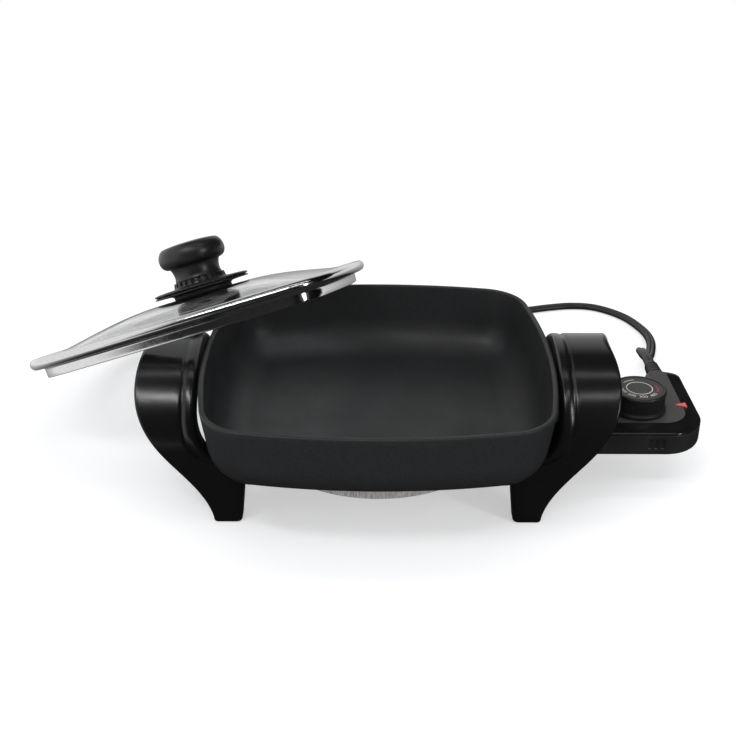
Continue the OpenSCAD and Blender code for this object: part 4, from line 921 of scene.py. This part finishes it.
# ---- Pilot light ----
# A clear red wedge of plastic, pressed into the cover from inside and nearly flush with it. It points at
# the dial, and the neon lamp lies under it.
LENS_X, LENS_Y = 0.1925, 0.006
LENS_TIP = 0.0056
LENS_BACK = 0.0018
LENS_HALF = 0.0030
LENS_RISE = 0.0004
lens_corners = [(LENS_X - LENS_TIP, LENS_Y, 0.0003), (LENS_X + LENS_BACK, LENS_Y - LENS_HALF, 0.0005),
                (LENS_X + LENS_BACK, LENS_Y + LENS_HALF, 0.0005)]
lens_red = new_material("lens_red", (0.62, 0.045, 0.03), 0.18, Coat_Weight=0.5)
lens_tone = spread(lens_red, object_noise(lens_red, 0.0015), 0, 1)
tinted(lens_red, lens_tone, (0.52, 0.03, 0.02), (0.78, 0.10, 0.07))
lens = piece("pilot_window", [slab(lens_corners, CTL_TOP - 0.001, CTL_TOP + LENS_RISE, 0.0001, 0.0003, 4, 4)],
             lens_red, "control", "pilot_lens", even=True)
lamp_glow = new_material("lamp_glow", (0.9, 0.55, 0.42), 0.1, Transmission_Weight=0.4)
tinted(lamp_glow, object_noise(lamp_glow, 0.001), (0.85, 0.5, 0.4), (0.95, 0.65, 0.5))
dress(lamp_glow, "pilot_lamp")


# ---- Strain relief ----
# A soft boot moulded on the cord and held between the two shells: a collar, then rounded rings that
# taper to the cord.
RELIEF_LEN = 0.024
RELIEF_R = 0.0058
COLLAR_OUT_R = 0.0068
RELIEF_END_R = 0.0039
relief_h = np.linspace(0, 1, 120)
ring_wave = np.abs(np.sin(np.pi * np.clip((relief_h - 0.14) / 0.80, 0, 1) * 5)) ** 0.55
relief_r = (RELIEF_R - 0.0013 * relief_h) - 0.0009 * (1 - ring_wave) * (relief_h > 0.14) * (relief_h < 0.94)
relief_r = np.where(relief_h < 0.10, COLLAR_OUT_R, relief_r)
end_r = RELIEF_END_R + 0.0003 * np.cos((relief_h - 0.94) / 0.06 * np.pi / 2)
relief_r = np.where(relief_h > 0.94, end_r, relief_r)
relief_profile = np.vstack([[[0, -0.002], [0.005, -0.002], [0.005, 0.0001]],
                            np.stack([relief_r, 0.0001 + relief_h * (RELIEF_LEN - 0.0001)], 1),
                            [[0, RELIEF_LEN]]])
along_y = np.array([[1, 0, 0], [0, 0, -1], [0, 1, 0]])
relief = placed(revolved(relief_profile, 72), [CORD_EXIT[0], CTL_BACK, CORD_EXIT[2]], along_y)
boot_rubber = plastic("boot_rubber", (0.015, 0.015, 0.016), 0.42, 0.0005, 0.00002)
strain_relief = piece("cord_boot", [relief], boot_rubber, "control", "strain_relief")


# ---- Dial ----
# A black moulded knob on the thermostat's shaft: a smooth foot ring, finely ribbed sides and a raised rim
# round its face, which has a ring, an arc and temperatures printed in white and a heat mark in red.
DIAL_AT = (0.1625, 0.002)
DIAL_R = 0.0175
DIAL_H = 0.014
DIAL_Z = CTL_TOP + 0.0004
DIAL_RIBS = 90
RIB_DEPTH = 0.0004
RIBS_LOW = 0.0030
RIBS_HIGH = 0.0106
FACE_R = 0.0147
FACE_DROP = 0.0005


def ribbed(a, r, z):
    """Ribs down the side between two heights: the radius loses the rib's depth times a rounded wave."""
    wave = (0.5 + 0.5 * np.cos(DIAL_RIBS * a)) ** 0.7
    zone = smooth_step((z - RIBS_LOW) / 0.0008) * smooth_step((RIBS_HIGH - z) / 0.0008) * (r > 0.015)
    return r - RIB_DEPTH * wave * zone


dial_side = np.vstack([
    [[0.0, 0.0], [DIAL_R - 0.0008, 0.0]], arc(DIAL_R - 0.0008, 0.0008, 0.0008, -90, 0, 5),
    arc(DIAL_R - 0.0008, 0.0017, 0.0008, 0, 80, 5), [[DIAL_R - 0.0013, 0.0028]],
    straight((DIAL_R - 0.0011, RIBS_LOW), (DIAL_R - 0.0013, RIBS_HIGH), 14),
    [[DIAL_R - 0.0013, 0.0112]], arc(DIAL_R - 0.0016, 0.0124, 0.0010, -40, 0, 4),
    arc(DIAL_R - 0.0018, DIAL_H - 0.0012, 0.0012, 0, 90, 7),
    arc(FACE_R + 0.0004, DIAL_H - 0.0003, 0.0003, 90, 180, 4),
    [[FACE_R, DIAL_H - FACE_DROP], [0.0, DIAL_H - FACE_DROP]]])
dial_black = plastic("dial_black", (0.013, 0.013, 0.0135), 0.36, 0.0005, 0.000012, 0.05)
dial_part = placed(revolved(dial_side, 720, ribbed), [*DIAL_AT, DIAL_Z])
dial = piece("dial_body", [dial_part], dial_black, "dial", "dial_knob", sharp=60)

face_grey = plastic("face_grey", (0.026, 0.025, 0.025), 0.4, 0.0006, 0.00001)
FACE_T = 0.0002
face_top = DIAL_Z + DIAL_H - FACE_DROP + FACE_T
disc = revolved([(0, -FACE_T), (FACE_R - 0.0001, -FACE_T), (FACE_R - 0.0001, 0.0), (0, 0.0)], 128)
dial_face = piece("dial_plate", [placed(disc, [*DIAL_AT, face_top])], face_grey, "dial", "dial_face")


def printed(name, colour):
    """Screen-printed ink: a little uneven in shade."""
    material = new_material(name, colour, 0.5)
    tinted(material, object_noise(material, 0.0008), [0.85 * c for c in colour], colour)
    return material


ink_white = printed("ink_white", (0.72, 0.70, 0.66))
ink_red = printed("ink_red", (0.30, 0.04, 0.05))
PRINT_T = 0.00008
RING_R = (0.0076, 0.0082)
ARC_R = (0.0108, 0.0113)
WEDGE_R = 0.0110


def print_band(inner_r, outer_r, start, end, steps):
    """A thin raised band of ink round the face, between two radii and two angles in degrees. A radius
    may change along the band."""
    a = np.radians(np.linspace(start, end, steps))
    corners = [(inner_r, 0), (outer_r, 0), (outer_r, PRINT_T), (inner_r, PRINT_T)]
    rings = np.stack([np.stack([r * np.cos(a), r * np.sin(a), np.full(steps, h)], 1) for r, h in corners], 1)
    full = end - start >= 360
    return placed(loft(rings[:-1] if full else rings, full), [*DIAL_AT, face_top])


ink = [print_band(*RING_R, 0, 360, 121), print_band(*ARC_R, 96, 140, 30)]
dial_print = piece("dial_ring", ink, ink_white, "dial", sharp=30)
# the heat setting's wedge grows towards its hot end
growth = np.linspace(1, 0.1, 40)
wedge = print_band(WEDGE_R - 0.0006 * growth, WEDGE_R + 0.0012 * growth, -28, 40, 40)
dial_wedge = piece("dial_heat_mark", [wedge], ink_red, "dial", sharp=30)

# each number and the angle where it stands, in degrees from +X
NUMBERS = {"OFF": 196, "200": 234, "300": 271, "400": 308}
NUMBER_R = 0.0112
NUMBER_SIZE = 0.003625
number_parts = []
for text, angle in NUMBERS.items():
    curve = bpy.data.curves.new("number", "FONT")
    curve.body = text
    curve.size = NUMBER_SIZE
    curve.align_x = "CENTER"
    curve.align_y = "CENTER"
    curve.extrude = PRINT_T / 2
    curve.resolution_u = 3
    typed = new_object("number", curve)
    bpy.context.view_layer.update()
    mesh = bpy.data.meshes.new_from_object(typed.evaluated_get(bpy.context.evaluated_depsgraph_get()))
    bpy.data.objects.remove(typed)
    flat = np.empty(len(mesh.vertices) * 3)
    mesh.vertices.foreach_get("co", flat)
    flat = flat.reshape(-1, 3)
    # the letters' tops point to the dial's middle
    a = math.radians(angle)
    out, right = np.array([math.cos(a), math.sin(a)]), np.array([-math.sin(a), math.cos(a)])
    place = NUMBER_R * out + flat[:, :1] * right - flat[:, 1:2] * out
    points = np.column_stack([place + DIAL_AT, flat[:, 2] + face_top + PRINT_T / 2])
    number_parts.append((points, [list(f.vertices) for f in mesh.polygons]))
numbers = piece("dial_numbers", number_parts, ink_white, "dial", sharp=30)


# ---- Cord fittings ----
# A white plastic tie holds the coil, and the plug's blades are brass.
dress(plastic("tie_white", (0.7, 0.7, 0.69), 0.4), "cord_tie")
dress(brass, "plug_prongs")
